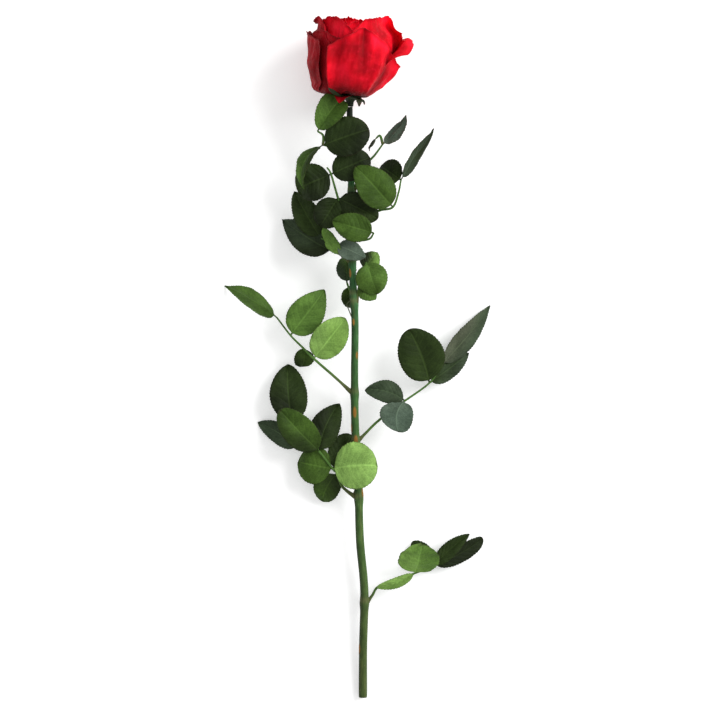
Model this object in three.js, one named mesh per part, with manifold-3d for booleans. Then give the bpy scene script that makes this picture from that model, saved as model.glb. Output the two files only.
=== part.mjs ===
// A single cut rose lying on a table: one long stem, twelve compound leaves, five sepals and a
// full bloom of twenty-seven petals. Millimetres, +Z up. The stem runs along +Y to the bloom.
// The origin ends up at the middle of the box around the rose, on the surface it lies on.

import * as THREE from 'three';
import { mergeVertices } from 'three/addons/utils/BufferGeometryUtils.js';
import Module from 'manifold-3d';

const wasm = await Module();
wasm.setup();

// ---- driving dimensions --------------------------------------------------------------------

const clearance = 0.35;          // gap between pieces that only touch

const stemLength = 433;          // cut end to the underside of the hip
const cutRadius = 3.1;           // stem radius at the cut end
const neckRadius = 2.2;          // stem radius under the bloom
const stemSides = 10;
const stemSteps = 33;
const stemDrift = [0, 0.2, 1, -2.4, -3.4, -5.6, -6.2, -5.8, -7.8, -8.4, -8.9, -9.7]; // sideways

const hipHeight = 7;
const hipRadius = 8.8;           // widest, at the rim that carries the petals
const hipSides = 20;

const bloomRadius = 33;          // outer whorl at its belly
const bloomHeight = 50;          // outer whorl, hip rim to petal tip
const bloomLean = -4.5;          // degrees, towards +X
const bloomLift = 2;             // degrees, towards +Z
const petalThickness = 0.5;
const coreRadius = 7;            // innermost whorl at its belly
const coreRise = 8;              // innermost petal tips above the outer ones
const tuck = 1.3;                // how far a petal edge slips over or under its neighbour
const baseStep = 1.1;            // inwards from whorl to whorl where they leave the hip
const baseRise = 0.9;            // upwards from whorl to whorl there

const sepalLength = 17;
const sepalWidth = 5.5;
const sepalThickness = 0.8;
const sepalAngles = [30, 102, 174, 246, 318]; // degrees from +X towards +Z
const sepalDroops = [5, 1.5, 2, 2, 2];

const bladeThickness = 0.5;
const stalkRadius = 1.1;         // leaf stalk at the stem
const stalkTipRadius = 0.7;      // leaf stalk at its last leaflet
const stalkSides = 6;
const stubWidth = 1.2;           // leaflet width where it leaves the stalk
const pointWidth = 0.5;          // leaflet width at its very tip
const bareShare = 0.06;          // of a leaflet's length, its own little stalk

// Leaves, from the bloom down. `below` is the distance from the hip down to the leaf's node on
// the stem, `above` the height over the cut end. Every other place is measured from the node.
// twigs: the leaf stalk, then any side stalks, which start at a joint of the first.
// blades: on = [twig, joint], tip, width, roll about the midrib (180 shows the underside), arch
// of the midrib, fold of the two halves, sweep sideways, and point: 0.5 is blunt, 1 is drawn out.

const leaves = [
  {
    name: 'leaf_01',
    below: 32,
    twigs: [
      [[-9, 2, 3], [-20, 4, 5]],
      [[-20, 11, 5], [-24, 14, 6]],
    ],
    blades: [
      { on: [1, 1], tip: [-7, 38, 9], width: 23, roll: -12, fold: 22, arch: 2, point: 0.22 },
      { on: [0, 1], tip: [-35, -28, 8], width: 15, roll: 50, fold: 12, arch: 4, sweep: 7, point: 0.9 },
      { on: [0, 1], tip: [13, 15, 12], width: 29, roll: -4, arch: 3, fold: 6, point: 0.5 },
    ],
  },
  {
    name: 'leaf_02',
    below: 61,
    twigs: [
      [[10, 18, 0], [17, 26, 1], [23, 34, 3]],
      [[21, 40, 5], [18, 38, 5]],
    ],
    blades: [
      { on: [0, 2], tip: [41, 54, 5], width: 14, roll: 132, fold: 10, arch: 2 },
      { on: [1, 1], tip: [12, 30, 3], width: 7, roll: 75, fold: 10 },
    ],
  },
  {
    name: 'leaf_03',
    below: 83,
    twigs: [[[11, 4, -1], [21, 8, 3], [30, 10, 8], [34, 20, 9], [36, 30, 5]]],
    blades: [
      { on: [0, 2], tip: [3, 39, 16], width: 27, roll: 4, fold: 8, arch: 3, point: 0.7 },
      { on: [0, 4], tip: [21, 41, -4], width: 20, fold: 6, arch: 1, point: 0.5 },
      { on: [0, 4], tip: [61, 67, 2], width: 15, roll: 58, fold: 8, arch: 1, sweep: -3, point: 1 },
    ],
  },
  {
    name: 'leaf_04',
    below: 91,
    twigs: [[[-6, 14, 3], [-10, 25, 5], [-15, 42, 7], [-18, 47, 8]]],
    blades: [
      { on: [0, 2], tip: [13, 54, 10], width: 23, roll: -4, arch: 2.5, fold: 5, point: 0.5 },
      { on: [0, 2], tip: [-40, 31, 2], width: 28, roll: 6, arch: 2, fold: 6, point: 0.5 },
      { on: [0, 1], tip: [19, 10, 7], width: 22, roll: 5, arch: 1.5, fold: 5, point: 0.6 },
      { on: [0, 1], tip: [-23, 4, 3], width: 22, roll: -6, arch: 2, fold: 5, point: 0.55 },
    ],
  },
  {
    name: 'leaf_05',
    below: 96,
    twigs: [[[6, -1, 5], [13, 0, 9], [16, 4, 12]]],
    blades: [
      { on: [0, 2], tip: [-14, 13, 12], width: 21, roll: -3, arch: 2.5, fold: 7, point: 0.7 },
    ],
  },
  {
    name: 'leaf_06',
    below: 112,
    twigs: [
      [[-8, 5, 3], [-11, 12, 4], [-18, 15, -1], [-23, 17, -5]],
      [[-14, 7, -3]],
    ],
    blades: [
      { on: [0, 3], tip: [-43, 52, -16], width: 20, roll: -8, arch: 3, fold: 8 },
      { on: [1, 0], tip: [-52, 32, -19], width: 25, roll: 8, arch: 3, fold: 8, sweep: -2, point: 1 },
      { on: [0, 0], tip: [-22, 25, 1], width: 14, roll: -48, arch: 1, fold: 14 },
      { on: [0, 1], tip: [10, 2, 7], width: 15, roll: 176, arch: -3, fold: 6 },
    ],
  },
  {
    name: 'leaf_07',
    below: 136,
    twigs: [[[-4, 6, -5], [-5, 9, -9]]],
    blades: [
      { on: [0, 1], tip: [-6, 28, -11], width: 15, roll: 10, arch: 1, fold: 8, point: 0.6 },
      { on: [0, 0], tip: [-2, -10, -10], width: 13, roll: -12, arch: 1, fold: 8, point: 0.6 },
    ],
  },
  {
    name: 'leaf_08',
    below: 142,
    twigs: [[[4, 13, 4], [7, 24, 6], [9, 29, 6]]],
    blades: [
      { on: [0, 2], tip: [17, 6, 6], width: 24, roll: 6, arch: 2, fold: 7, point: 0.6 },
      { on: [0, 0], tip: [16, 2, 1], width: 14, roll: 6, arch: 1, fold: 7 },
      { on: [0, 1], tip: [17, 37, 1], width: 15, roll: -6, arch: 1, fold: 6 },
    ],
  },
  {
    name: 'leaf_09',
    below: 208,
    twigs: [[[-14, 11, 1], [-30, 25, 1], [-38, 33, 0], [-47, 42, -1], [-57, 55, -4]]],
    blades: [
      { on: [0, 4], tip: [-97, 78, -20], width: 18, roll: -40, arch: 2, fold: 8, sweep: 5, point: 1 },
      { on: [0, 3], tip: [-22, 75, 4], width: 26, roll: 5, arch: 2, fold: 6 },
      { on: [0, 1], tip: [-7, 54, 9], width: 25, roll: 5, arch: 2, fold: 6, point: 0.6 },
      { on: [0, 2], tip: [-40, 18, -9], width: 15, roll: -8, arch: 1.5, fold: 6, sweep: -2, point: 0.6 },
    ],
  },
  {
    name: 'leaf_10',
    below: 243,
    twigs: [[[7, 5, 0], [15, 13, 1], [25, 21, 1], [36, 29, 1], [54, 42, -2], [63, 55, -3]]],
    blades: [
      { on: [0, 5], tip: [100, 99, -17], width: 17, roll: 24, arch: 2, fold: 8, point: 0.9 },
      { on: [0, 4], tip: [39, 81, 6], width: 34, roll: -4, arch: 3, fold: 6, sweep: 2, point: 0.55 },
      { on: [0, 4], tip: [84, 64, -14], width: 15, roll: 10, arch: 1, fold: 6 },
      { on: [0, 3], tip: [7, 37, 4], width: 17, roll: 6, arch: 1.5, fold: 6, sweep: 3, point: 0.7 },
      { on: [0, 3], tip: [31, 6, 5], width: 25, roll: 178, arch: -4, fold: 6, sweep: -4, point: 0.5 },
    ],
  },
  {
    name: 'leaf_11',
    below: 285,
    twigs: [
      [[-12, 8, 1], [-16, 18, 3], [-19, 21, 3], [-29, 34, 4], [-39, 45, 2], [-48, 54, -1]],
      [[-38, 37, -1], [-45, 36, -4]],
    ],
    blades: [
      { on: [0, 5], tip: [-52, 98, -9], width: 28, roll: 4, arch: 3, fold: 7, sweep: -2, point: 0.7 },
      { on: [0, 3], tip: [-57, 64, 20], width: 24, roll: -6, arch: 4, fold: 7, point: 0.5 },
      { on: [0, 3], tip: [-14, 69, -3], width: 22, roll: 4, arch: 2, fold: 6, sweep: -3 },
      { on: [1, 1], tip: [-75, 55, -14], width: 16, roll: -4, arch: 1, fold: 8, sweep: 2 },
      { on: [0, 2], tip: [-45, 26, -3], width: 28, roll: 3, arch: 2, fold: 6, point: 0.6 },
      { on: [0, 1], tip: [-27, -4, -8], width: 20, roll: -4, arch: 1, fold: 6, sweep: 2, point: 0.6 },
      { on: [0, 2], tip: [13, 24, 13], width: 35, roll: -5, arch: 4, fold: 5, sweep: -1, point: 0.45 },
      { on: [0, 2], tip: [-5, 46, -6], width: 21, roll: 5, arch: -1, fold: 5, point: 0.5 },
    ],
  },
  {
    name: 'leaf_12',
    above: 71,
    twigs: [[[6, 5, 0], [10, 11, 1], [22, 16, 2], [37, 21, 2], [51, 26, 1]]],
    blades: [
      { on: [0, 4], tip: [88, 46, -9], width: 14, roll: 16, arch: 1, fold: 16, sweep: 1, point: 0.5 },
      { on: [0, 4], tip: [77, 50, 1], width: 12, roll: -12, arch: 1, fold: 12, sweep: -1 },
      { on: [0, 3], tip: [42, 42, 20], width: 31, roll: 14, arch: 1, fold: 5, point: 0.5 },
      { on: [0, 4], tip: [35, 44, -4], width: 15, roll: -4, arch: 1, fold: 6, point: 0.6 },
      { on: [0, 3], tip: [9, 11, 5], width: 8, roll: 12, arch: 1, fold: 8, sweep: -2, point: 0.6 },
    ],
  },
];

// The whorls of the bloom, outermost first: petals, the first one's direction in degrees from
// +X towards +Z, and half the angle each petal spans.
const whorls = [
  { count: 5, start: 62, half: 56 },
  { count: 5, start: 28, half: 54 },
  { count: 5, start: 66, half: 54 },
  { count: 5, start: 34, half: 56 },
  { count: 4, start: 80, half: 66 },
  { count: 3, start: 50, half: 84 },
];

// Over or under its neighbours, at a petal's two edges, for whorls of three, four and five.
const overlaps = {
  3: [[1, 1], [-1, -1], [1, -1]],
  4: [[1, 1], [-1, -1], [1, 1], [-1, -1]],
  5: [[1, 1], [-1, -1], [1, 1], [-1, 1], [-1, -1]],
};

// What sets single outer petals apart: how far each edge falls below the tip, as a share of the
// height, and how far the rim rolls outwards.
const outerPetals = [
  { drops: [0.42, 0.2], flare: 1 },
  { drops: [0.25, 0.18], flare: 1 },
  { drops: [0.25, 0.25], flare: 2 },
  { drops: [0.25, 0.32], flare: 1.5 },
  { drops: [0.25, 0.3], flare: 6 },
];
const innerPetal = { drops: [0.22, 0.22], flare: 0.5 };

// ---- finishes ------------------------------------------------------------------------------

const finishes = {
  stem: new THREE.MeshStandardMaterial({ color: 0x3f5f34, roughness: 0.6 }),
  leaf: new THREE.MeshStandardMaterial({ color: 0x38591f, roughness: 0.55, side: THREE.DoubleSide }),
  petal: new THREE.MeshStandardMaterial({ color: 0xc0101c, roughness: 0.75 }),
  sepal: new THREE.MeshStandardMaterial({ color: 0x2a3a20, roughness: 0.7 }),
};

// ---- small helpers -------------------------------------------------------------------------

const up = new THREE.Vector3(0, 0, 1);
const radians = THREE.MathUtils.degToRad;
const { lerp, smoothstep } = THREE.MathUtils;

function vector(list) {
  return new THREE.Vector3(...list);
}

// Moves every corner of a closed geometry to place(x, y, z) and joins the corners that meet.
function bend(geometry, place) {
  const position = geometry.getAttribute('position');
  for (let i = 0; i < position.count; i += 1) {
    const point = place(position.getX(i), position.getY(i), position.getZ(i));
    position.setXYZ(i, point.x, point.y, point.z);
  }
  geometry.deleteAttribute('normal');
  geometry.deleteAttribute('uv');
  const joined = mergeVertices(geometry, 1e-4);
  joined.computeVertexNormals();
  return joined;
}

// A closed sheet: surface(across, along) gives its middle, with across -1 to 1 and along 0 to 1.
function sheet(surface, thickness, acrossSteps, alongSteps) {
  const nudge = 1e-3;
  const box = new THREE.BoxGeometry(2, 1, 1, acrossSteps, alongSteps, 1);
  return bend(box, (x, y, z) => {
    const along = y + 0.5;
    const middle = surface(x, along);
    const sideways = surface(x + nudge, along).sub(surface(x - nudge, along));
    const lengthways = surface(x, along + nudge).sub(surface(x, along - nudge));
    const normal = sideways.cross(lengthways).normalize();
    return middle.addScaledVector(normal, z * thickness);
  });
}

// A round bar along a curve, with radius(share of the length).
function bar(curve, radius, sides, steps) {
  const cylinder = new THREE.CylinderGeometry(1, 1, 1, sides, steps);
  return bend(cylinder, (x, y, z) => {
    const share = y + 0.5;
    const along = curve.getTangent(share);
    const right = new THREE.Vector3().crossVectors(along, up).normalize();
    const front = new THREE.Vector3().crossVectors(right, along);
    const r = radius(share);
    return curve.getPoint(share).addScaledVector(right, x * r).addScaledVector(front, z * r);
  });
}

function smoothCurve(points) {
  return new THREE.CatmullRomCurve3(points, false, 'catmullrom', 0.5);
}

function toSolid(geometry) {
  const vertProperties = new Float32Array(geometry.getAttribute('position').array);
  const triVerts = new Uint32Array(geometry.getIndex().array);
  return new wasm.Manifold(new wasm.Mesh({ numProp: 3, vertProperties, triVerts }));
}

function toGeometry(solid) {
  const mesh = solid.getMesh();
  const geometry = new THREE.BufferGeometry();
  geometry.setAttribute('position', new THREE.BufferAttribute(mesh.vertProperties, 3));
  geometry.setIndex(new THREE.BufferAttribute(mesh.triVerts, 1));
  geometry.computeVertexNormals();
  return geometry;
}

function piece(name, geometry, finish) {
  const mesh = new THREE.Mesh(geometry, finish);
  mesh.name = name;
  return mesh;
}

// ---- stem ----------------------------------------------------------------------------------

const stemTop = bloomRadius + tuck + petalThickness;

function makeStemCurve() {
  const steps = stemDrift.length - 1;
  const points = stemDrift.map((drift, i) => {
    const share = i / steps;
    return new THREE.Vector3(drift, share * stemLength, lerp(cutRadius, stemTop, share));
  });
  return smoothCurve(points);
}

const stemCurve = makeStemCurve();

function stemRadius(share) {
  return lerp(cutRadius, neckRadius, share ** 1.5);
}

function makeStem() {
  return piece('stem', bar(stemCurve, stemRadius, stemSides, stemSteps), finishes.stem);
}

// ---- leaves --------------------------------------------------------------------------------

// Half-width of a leaflet along its length: a short bare stalk, a round base and a point.
function bladeHalfWidth(blade, along) {
  const share = THREE.MathUtils.clamp((along - bareShare) / (1 - bareShare), 0, 1);
  const point = blade.point ?? 0.8;
  const widest = 0.5 / (0.5 + point);
  const profile = (at) => Math.sqrt(at) * (1 - at) ** point;
  const outline = profile(share) / profile(widest);
  const narrowest = lerp(stubWidth, pointWidth, share);
  return Math.max(narrowest, blade.width * outline) / 2;
}

function makeBlade(blade, base) {
  const span = vector(blade.tip).sub(base);
  const direction = span.clone().normalize();
  const roll = radians(blade.roll ?? 0);
  const flat = new THREE.Vector3().crossVectors(direction, up).normalize();
  const right = flat.applyAxisAngle(direction, roll);
  const normal = new THREE.Vector3().crossVectors(right, direction);
  const fold = radians(blade.fold ?? 0);
  const surface = (across, along) => {
    const half = bladeHalfWidth(blade, along) * across;
    const bow = 4 * along * (1 - along);
    return base.clone()
      .addScaledVector(span, along)
      .addScaledVector(right, half * Math.cos(fold) + (blade.sweep ?? 0) * bow)
      .addScaledVector(normal, Math.abs(half) * Math.sin(fold) + (blade.arch ?? 0) * bow);
  };
  return sheet(surface, bladeThickness, 2, 7);
}

// Where a leaf stalk heading for a joint starts, so that its end face just clears the stem.
function stalkStart(joint, share) {
  const stemwards = stemCurve.getTangent(share);
  const along = joint.dot(stemwards);
  const outwards = joint.clone().addScaledVector(stemwards, -along);
  const skin = stemRadius(share) + clearance;
  const slant = Math.abs(along) / Math.hypot(along, outwards.length() - skin);
  return outwards.setLength(skin + stalkRadius * slant);
}

// The first twig starts at the stem's skin; a side twig starts at the main joint nearest to it.
function makeTwigCurves(leaf, share) {
  const mainJoints = leaf.twigs[0].map(vector);
  return leaf.twigs.map((twig, i) => {
    const joints = twig.map(vector);
    const nearest = (a, b) => (b.distanceTo(joints[0]) < a.distanceTo(joints[0]) ? b : a);
    const start = i === 0 ? stalkStart(joints[0], share) : mainJoints.reduce(nearest);
    return smoothCurve([start, ...joints]);
  });
}

function makeLeaf(leaf) {
  const height = leaf.above ?? stemLength - leaf.below;
  const share = height / stemLength;
  const taper = (along) => lerp(stalkRadius, stalkTipRadius, along);
  const solids = makeTwigCurves(leaf, share).map((curve) => (
    toSolid(bar(curve, taper, stalkSides, 2 * (curve.points.length - 1)))
  ));
  for (const blade of leaf.blades) {
    const [twig, joint] = blade.on;
    solids.push(toSolid(makeBlade(blade, vector(leaf.twigs[twig][joint]))));
  }
  const whole = solids.reduce((sum, solid) => sum.add(solid));
  const mesh = piece(leaf.name, toGeometry(whole), finishes.leaf);
  mesh.position.copy(stemCurve.getPoint(share));
  return mesh;
}

// ---- bloom: its own frame has the hip's rim at the origin and the axis along +Y --------------

function makeHip() {
  const rings = whorls.length - 1;
  const footRadius = neckRadius * 1.1;
  const tiltRoom = footRadius * Math.sin(radians(Math.hypot(bloomLean, bloomLift)));
  const bottom = -hipHeight + clearance + tiltRoom;
  const profile = [
    new THREE.Vector2(0, bottom),
    new THREE.Vector2(footRadius, bottom),
    new THREE.Vector2(hipRadius * 0.38, bottom * 0.72),
    new THREE.Vector2(hipRadius * 0.48, bottom * 0.4),
    new THREE.Vector2(hipRadius * 0.76, bottom * 0.16),
    new THREE.Vector2(hipRadius, 0),
    new THREE.Vector2(hipRadius - baseStep * rings, baseRise * rings),
    new THREE.Vector2(0, baseRise * rings),
  ];
  const lathe = new THREE.LatheGeometry(profile, hipSides);
  return piece('hip', bend(lathe, (x, y, z) => new THREE.Vector3(x, y, z)), finishes.sepal);
}

// A point of a petal's profile in (radius, height), pushed outwards by slip.
function profilePoint(curve, t, slip) {
  const point = curve.getPoint(t);
  const heading = curve.getTangent(t);
  return { radius: point.x + heading.y * slip, height: point.y - heading.x * slip };
}

// A petal leaves the hip on a narrow claw, swings out to its belly and stands up to its rim.
function makePetal(name, ring, whorl, index) {
  const inner = ring / (whorls.length - 1);
  const belly = lerp(bloomRadius, coreRadius, inner);
  const tip = bloomHeight + coreRise * Math.sqrt(inner);
  const claw = hipRadius - petalThickness - baseStep * ring;
  const foot = clearance + petalThickness + tuck + baseRise * ring;
  const profile = new THREE.CubicBezierCurve(
    new THREE.Vector2(claw, foot),
    new THREE.Vector2(belly * 1.05, foot - 2.5 * (1 - inner)),
    new THREE.Vector2(belly * 1.16, tip * 0.5),
    new THREE.Vector2(belly * lerp(0.86, 0.55, inner), tip),
  );
  const { drops, flare } = ring === 0 ? outerPetals[index] : innerPetal;
  const [lowEdge, highEdge] = overlaps[whorl.count][index];
  const middle = radians(whorl.start + (360 / whorl.count) * index);
  const surface = (across, along) => {
    const drop = across < 0 ? drops[0] : drops[1];
    const rise = along * (1 - drop * Math.abs(across) ** 2.4);
    const side = tuck * lerp(1, 0.7, inner) * lerp(lowEdge, highEdge, (across + 1) / 2);
    const { radius, height } = profilePoint(profile, rise, side * smoothstep(rise, 0.12, 0.42));
    const angle = middle + radians(whorl.half) * lerp(0.36, 1, smoothstep(rise, 0, 0.6)) * across;
    const reach = radius + flare * (1 - across ** 2) ** 3 * smoothstep(along, 0.7, 1) ** 2;
    return new THREE.Vector3(reach * Math.cos(angle), height, reach * Math.sin(angle));
  };
  return piece(name, sheet(surface, petalThickness, 6, 6), finishes.petal);
}

function makePetals() {
  let number = 0;
  return whorls.flatMap((whorl, ring) => (
    Array.from({ length: whorl.count }, (_, index) => {
      number += 1;
      return makePetal(`petal_${String(number).padStart(2, '0')}`, ring, whorl, index);
    })
  ));
}

// A sepal spreads outwards from the hip, under the petals, and droops a little.
function makeSepal(angle, index) {
  const start = hipRadius + clearance + sepalThickness / 2;
  const droop = sepalDroops[index];
  const surface = (across, along) => {
    const outline = 0.45 + 1.1 * along - 1.45 * along ** 2;
    const half = (sepalWidth / 2) * Math.max(outline, 0.12) * across;
    const level = -clearance - sepalThickness - droop * along ** 2;
    return new THREE.Vector3(start + sepalLength * along, level, half);
  };
  const mesh = piece(`sepal_${index + 1}`, sheet(surface, sepalThickness, 2, 5), finishes.sepal);
  mesh.rotation.y = -radians(angle);
  return mesh;
}

function makeBloom() {
  const bloom = new THREE.Group();
  bloom.position.y = hipHeight;
  bloom.add(makeHip(), ...sepalAngles.map(makeSepal), ...makePetals());
  const crown = new THREE.Group();
  crown.position.copy(stemCurve.getPoint(1));
  crown.rotation.set(radians(bloomLift), 0, radians(bloomLean));
  crown.add(bloom);
  return crown;
}

// ---- the rose, moved so that the origin is under the middle of its box -----------------------

const rose = new THREE.Group();
rose.add(makeStem(), ...leaves.map(makeLeaf), makeBloom());
const box = new THREE.Box3().setFromObject(rose, true);
const centre = box.getCenter(new THREE.Vector3());
rose.position.set(-centre.x, -centre.y, -box.min.z);

export default rose;
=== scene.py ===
"""A single cut rose lying on a pale table: one long stem, twelve compound leaves, a full red bloom.

Every size is in millimetres in the flower's own frame, whose origin lies under the cut end of the
stem, with +Y towards the bloom and +Z up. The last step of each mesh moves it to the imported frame.
"""

import logging
import math
from bisect import bisect_right
from dataclasses import dataclass, field
from enum import Enum
from typing import Callable, Sequence

import bmesh
import bpy
from mathutils import Matrix, Vector, noise


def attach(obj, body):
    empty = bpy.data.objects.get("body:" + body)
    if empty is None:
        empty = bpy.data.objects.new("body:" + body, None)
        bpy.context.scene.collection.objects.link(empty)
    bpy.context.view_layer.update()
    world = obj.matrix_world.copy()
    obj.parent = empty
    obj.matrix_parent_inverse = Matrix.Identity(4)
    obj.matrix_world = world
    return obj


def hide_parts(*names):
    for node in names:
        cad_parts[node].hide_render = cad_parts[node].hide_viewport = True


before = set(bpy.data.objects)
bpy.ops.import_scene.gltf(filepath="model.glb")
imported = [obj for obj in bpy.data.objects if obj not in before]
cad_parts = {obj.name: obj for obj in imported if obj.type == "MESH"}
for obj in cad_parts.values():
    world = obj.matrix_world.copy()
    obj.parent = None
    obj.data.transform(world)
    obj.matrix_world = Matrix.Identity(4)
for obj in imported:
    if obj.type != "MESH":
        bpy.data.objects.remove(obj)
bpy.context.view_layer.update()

log = logging.getLogger("rose")

MM = 0.001
BODY = "root"
Colour = tuple[float, float, float]
Place = Callable[[float, float], Vector]
Tint = Callable[[float, float], Colour]
UP = Vector((0, 0, 1))


# ---- the shared frame --------------------------------------------------------------------------

STEM_LENGTH = 433.0
CUT_RADIUS = 3.1
NECK_RADIUS = 2.2
STEM_TOP = 34.8
STEM_DRIFT = (0, 0.2, 1, -2.4, -3.4, -5.6, -6.2, -5.8, -7.8, -8.4, -8.9, -9.7)
HIP_HEIGHT = 7.0
HIP_RADIUS = 8.8
BLOOM_LEAN = -4.5
BLOOM_LIFT = 2.0
TABLE_GAP = 0.3
TABLE_EASE = 1.6


def find_origin() -> Vector:
    """The flower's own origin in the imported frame, in millimetres, from the stem's cut end.

    Returns:
        The point that every mesh is moved by.
    """
    corners = {tuple(round(c, 6) for c in v.co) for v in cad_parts["stem"].data.vertices}
    lowest = min(corner[1] for corner in corners)
    ring = [Vector(corner) for corner in corners if corner[1] < lowest + 2 * MM]
    return sum(ring, Vector()) / len(ring) / MM - Vector((0, 0, CUT_RADIUS))


ORIGIN = find_origin()


def blend(low: float, high: float, share: float) -> float:
    """A value between two others."""
    return low + (high - low) * share


def clamp(value: float, low: float = 0.0, high: float = 1.0) -> float:
    """A value kept between two limits."""
    return min(max(value, low), high)


def ease(value: float, low: float = 0.0, high: float = 1.0) -> float:
    """A smooth step from 0 at `low` to 1 at `high`."""
    share = clamp((value - low) / (high - low))
    return share * share * (3 - 2 * share)


def bell(value: float, middle: float, width: float) -> float:
    """A soft bump of height 1 around `middle`."""
    return math.exp(-(((value - middle) / width) ** 2))


def mix_colours(first: Colour, second: Colour, share: float) -> Colour:
    """A colour between two others."""
    return tuple(blend(a, b, share) for a, b in zip(first, second))


def ripple(x: float, y: float, z: float) -> float:
    """Smooth noise around 0 at a place."""
    return noise.noise(Vector((x, y, z)))


def cross_axes(heading: Vector) -> tuple[Vector, Vector]:
    """The unit directions to the right of a heading and up from it."""
    right = heading.cross(UP).normalized()
    return right, right.cross(heading)


def add_object(name: str, data: bpy.types.ID) -> bpy.types.Object:
    """Puts a mesh, a light or a camera into the scene.

    Args:
        name: The new object's name.
        data: What it shows.

    Returns:
        The new object.
    """
    made = bpy.data.objects.new(name, data)
    bpy.context.scene.collection.objects.link(made)
    return made


class SmoothCurve:
    """A Catmull-Rom curve with evenly counted knots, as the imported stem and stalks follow."""

    def __init__(self, points: Sequence[Sequence[float]]) -> None:
        """Args:
            points: The knots, in millimetres.
        """
        self.points = [Vector(point) for point in points]

    def point(self, share: float) -> Vector:
        """Args:
            share: 0 at the first knot, 1 at the last.

        Returns:
            The point there.
        """
        last = len(self.points) - 1
        place = clamp(share) * last
        i = min(int(place), last - 1)
        t = place - i
        start, end = self.points[i], self.points[i + 1]
        before = self.points[i - 1] if i > 0 else 2 * start - end
        after = self.points[i + 2] if i + 2 <= last else 2 * end - start
        leave, arrive = (end - before) / 2, (after - start) / 2
        cubic = 2 * (start - end) + leave + arrive
        square = 3 * (end - start) - 2 * leave - arrive
        return cubic * t**3 + square * t**2 + leave * t + start

    def heading(self, share: float) -> Vector:
        """The unit direction of travel at a share of the curve."""
        step = 1e-4
        return (self.point(share + step) - self.point(share - step)).normalized()


def make_stem_line() -> SmoothCurve:
    """The centre line of the stem."""
    steps = len(STEM_DRIFT) - 1
    return SmoothCurve(
        [
            (drift, i / steps * STEM_LENGTH, blend(CUT_RADIUS, STEM_TOP, i / steps))
            for i, drift in enumerate(STEM_DRIFT)
        ]
    )


STEM_LINE = make_stem_line()


def stem_radius(share: float) -> float:
    """The radius of the plain stem at a share of its length."""
    return blend(CUT_RADIUS, NECK_RADIUS, share**1.5)


# ---- meshes ------------------------------------------------------------------------------------


class PieceMesh:
    """A mesh that is built up from grids, with a UV map "surface" and a colour layer "tint"."""

    def __init__(self) -> None:
        """Starts empty."""
        self.mesh = bmesh.new()
        self.surface = self.mesh.loops.layers.uv.new("surface")
        self.tint = self.mesh.verts.layers.float_color.new("tint")

    def grid(
        self, columns: int, rows: int, place: Place, tint: Tint, material: int = 0
    ) -> list[bmesh.types.BMVert]:
        """Adds an open sheet.

        Args:
            columns: Faces across.
            rows: Faces along.
            place: Where a corner goes, from across and along, each 0 to 1.
            tint: Its colour, from the same two.
            material: The material slot of its faces.

        Returns:
            The new corners.
        """
        made = bmesh.ops.create_grid(self.mesh, x_segments=columns, y_segments=rows, size=1.0)
        corners = made["verts"]
        flat = {corner: ((corner.co.x + 1) / 2, (corner.co.y + 1) / 2) for corner in corners}
        for facet in {facet for corner in corners for facet in corner.link_faces}:
            facet.material_index = material
            facet.smooth = True
            for loop in facet.loops:
                loop[self.surface].uv = flat[loop.vert]
        for corner, (across, along) in flat.items():
            corner.co = place(across, along)
            corner[self.tint] = (*tint(across, along), 1.0)
        return corners

    def tube(
        self, sides: int, rows: int, place: Place, tint: Tint, material: int = 0
    ) -> list[bmesh.types.BMVert]:
        """Adds a closed bar: a sheet whose two long edges meet, with its ends filled.

        Args:
            sides: Faces around.
            rows: Faces along.
            place: Where a corner goes, from the share of a turn and the share of the length.
            tint: Its colour, from the same two.
            material: The material slot of its faces.

        Returns:
            The corners that are left once the long edges are joined.
        """
        corners = self.grid(sides, rows, place, tint, material)
        bmesh.ops.remove_doubles(self.mesh, verts=corners, dist=1e-4)
        left = [corner for corner in corners if corner.is_valid]
        rims = {edge for corner in left for edge in corner.link_edges if edge.is_boundary}
        caps = bmesh.ops.holes_fill(self.mesh, edges=list(rims), sides=0)["faces"]
        for cap in caps:
            cap.material_index = material
        facets = {facet for corner in left for facet in corner.link_faces}
        bmesh.ops.recalc_face_normals(self.mesh, faces=list(facets))
        return left

    def finish(self, name: str, node: str | None, slot: str, paints: Sequence) -> bpy.types.Object:
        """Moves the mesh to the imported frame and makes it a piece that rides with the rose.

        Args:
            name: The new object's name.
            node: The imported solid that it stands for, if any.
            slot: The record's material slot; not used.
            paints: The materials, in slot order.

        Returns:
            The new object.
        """
        bmesh.ops.translate(self.mesh, verts=self.mesh.verts, vec=ORIGIN)
        for corner in self.mesh.verts:
            if corner.co.z < TABLE_EASE:
                sunk = (corner.co.z - TABLE_EASE) / (TABLE_EASE - TABLE_GAP)
                corner.co.z = TABLE_GAP + (TABLE_EASE - TABLE_GAP) * math.exp(sunk)
        bmesh.ops.scale(self.mesh, verts=self.mesh.verts, vec=(MM, MM, MM))
        data = bpy.data.meshes.new(name)
        self.mesh.to_mesh(data)
        self.mesh.free()
        piece = add_object(name, data)
        for paint in paints:
            data.materials.append(paint)
        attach(piece, BODY)
        if node is not None:
            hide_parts(node)
        log.info("%s: %d faces, for %s", name, len(data.polygons), node)
        return piece


def thicken(piece: bpy.types.Object, thickness: float, under: int = 0) -> None:
    """Gives a sheet its thickness, half to each side.

    Args:
        piece: The sheet.
        thickness: In millimetres.
        under: How many slots further on the underside's material is.
    """
    wall = piece.modifiers.new("wall", "SOLIDIFY")
    wall.thickness = thickness * MM
    wall.offset = 0.0
    wall.use_even_offset = False
    wall.use_quality_normals = True
    wall.material_offset = under
    wall.material_offset_rim = 0


# ---- paints ------------------------------------------------------------------------------------


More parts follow.
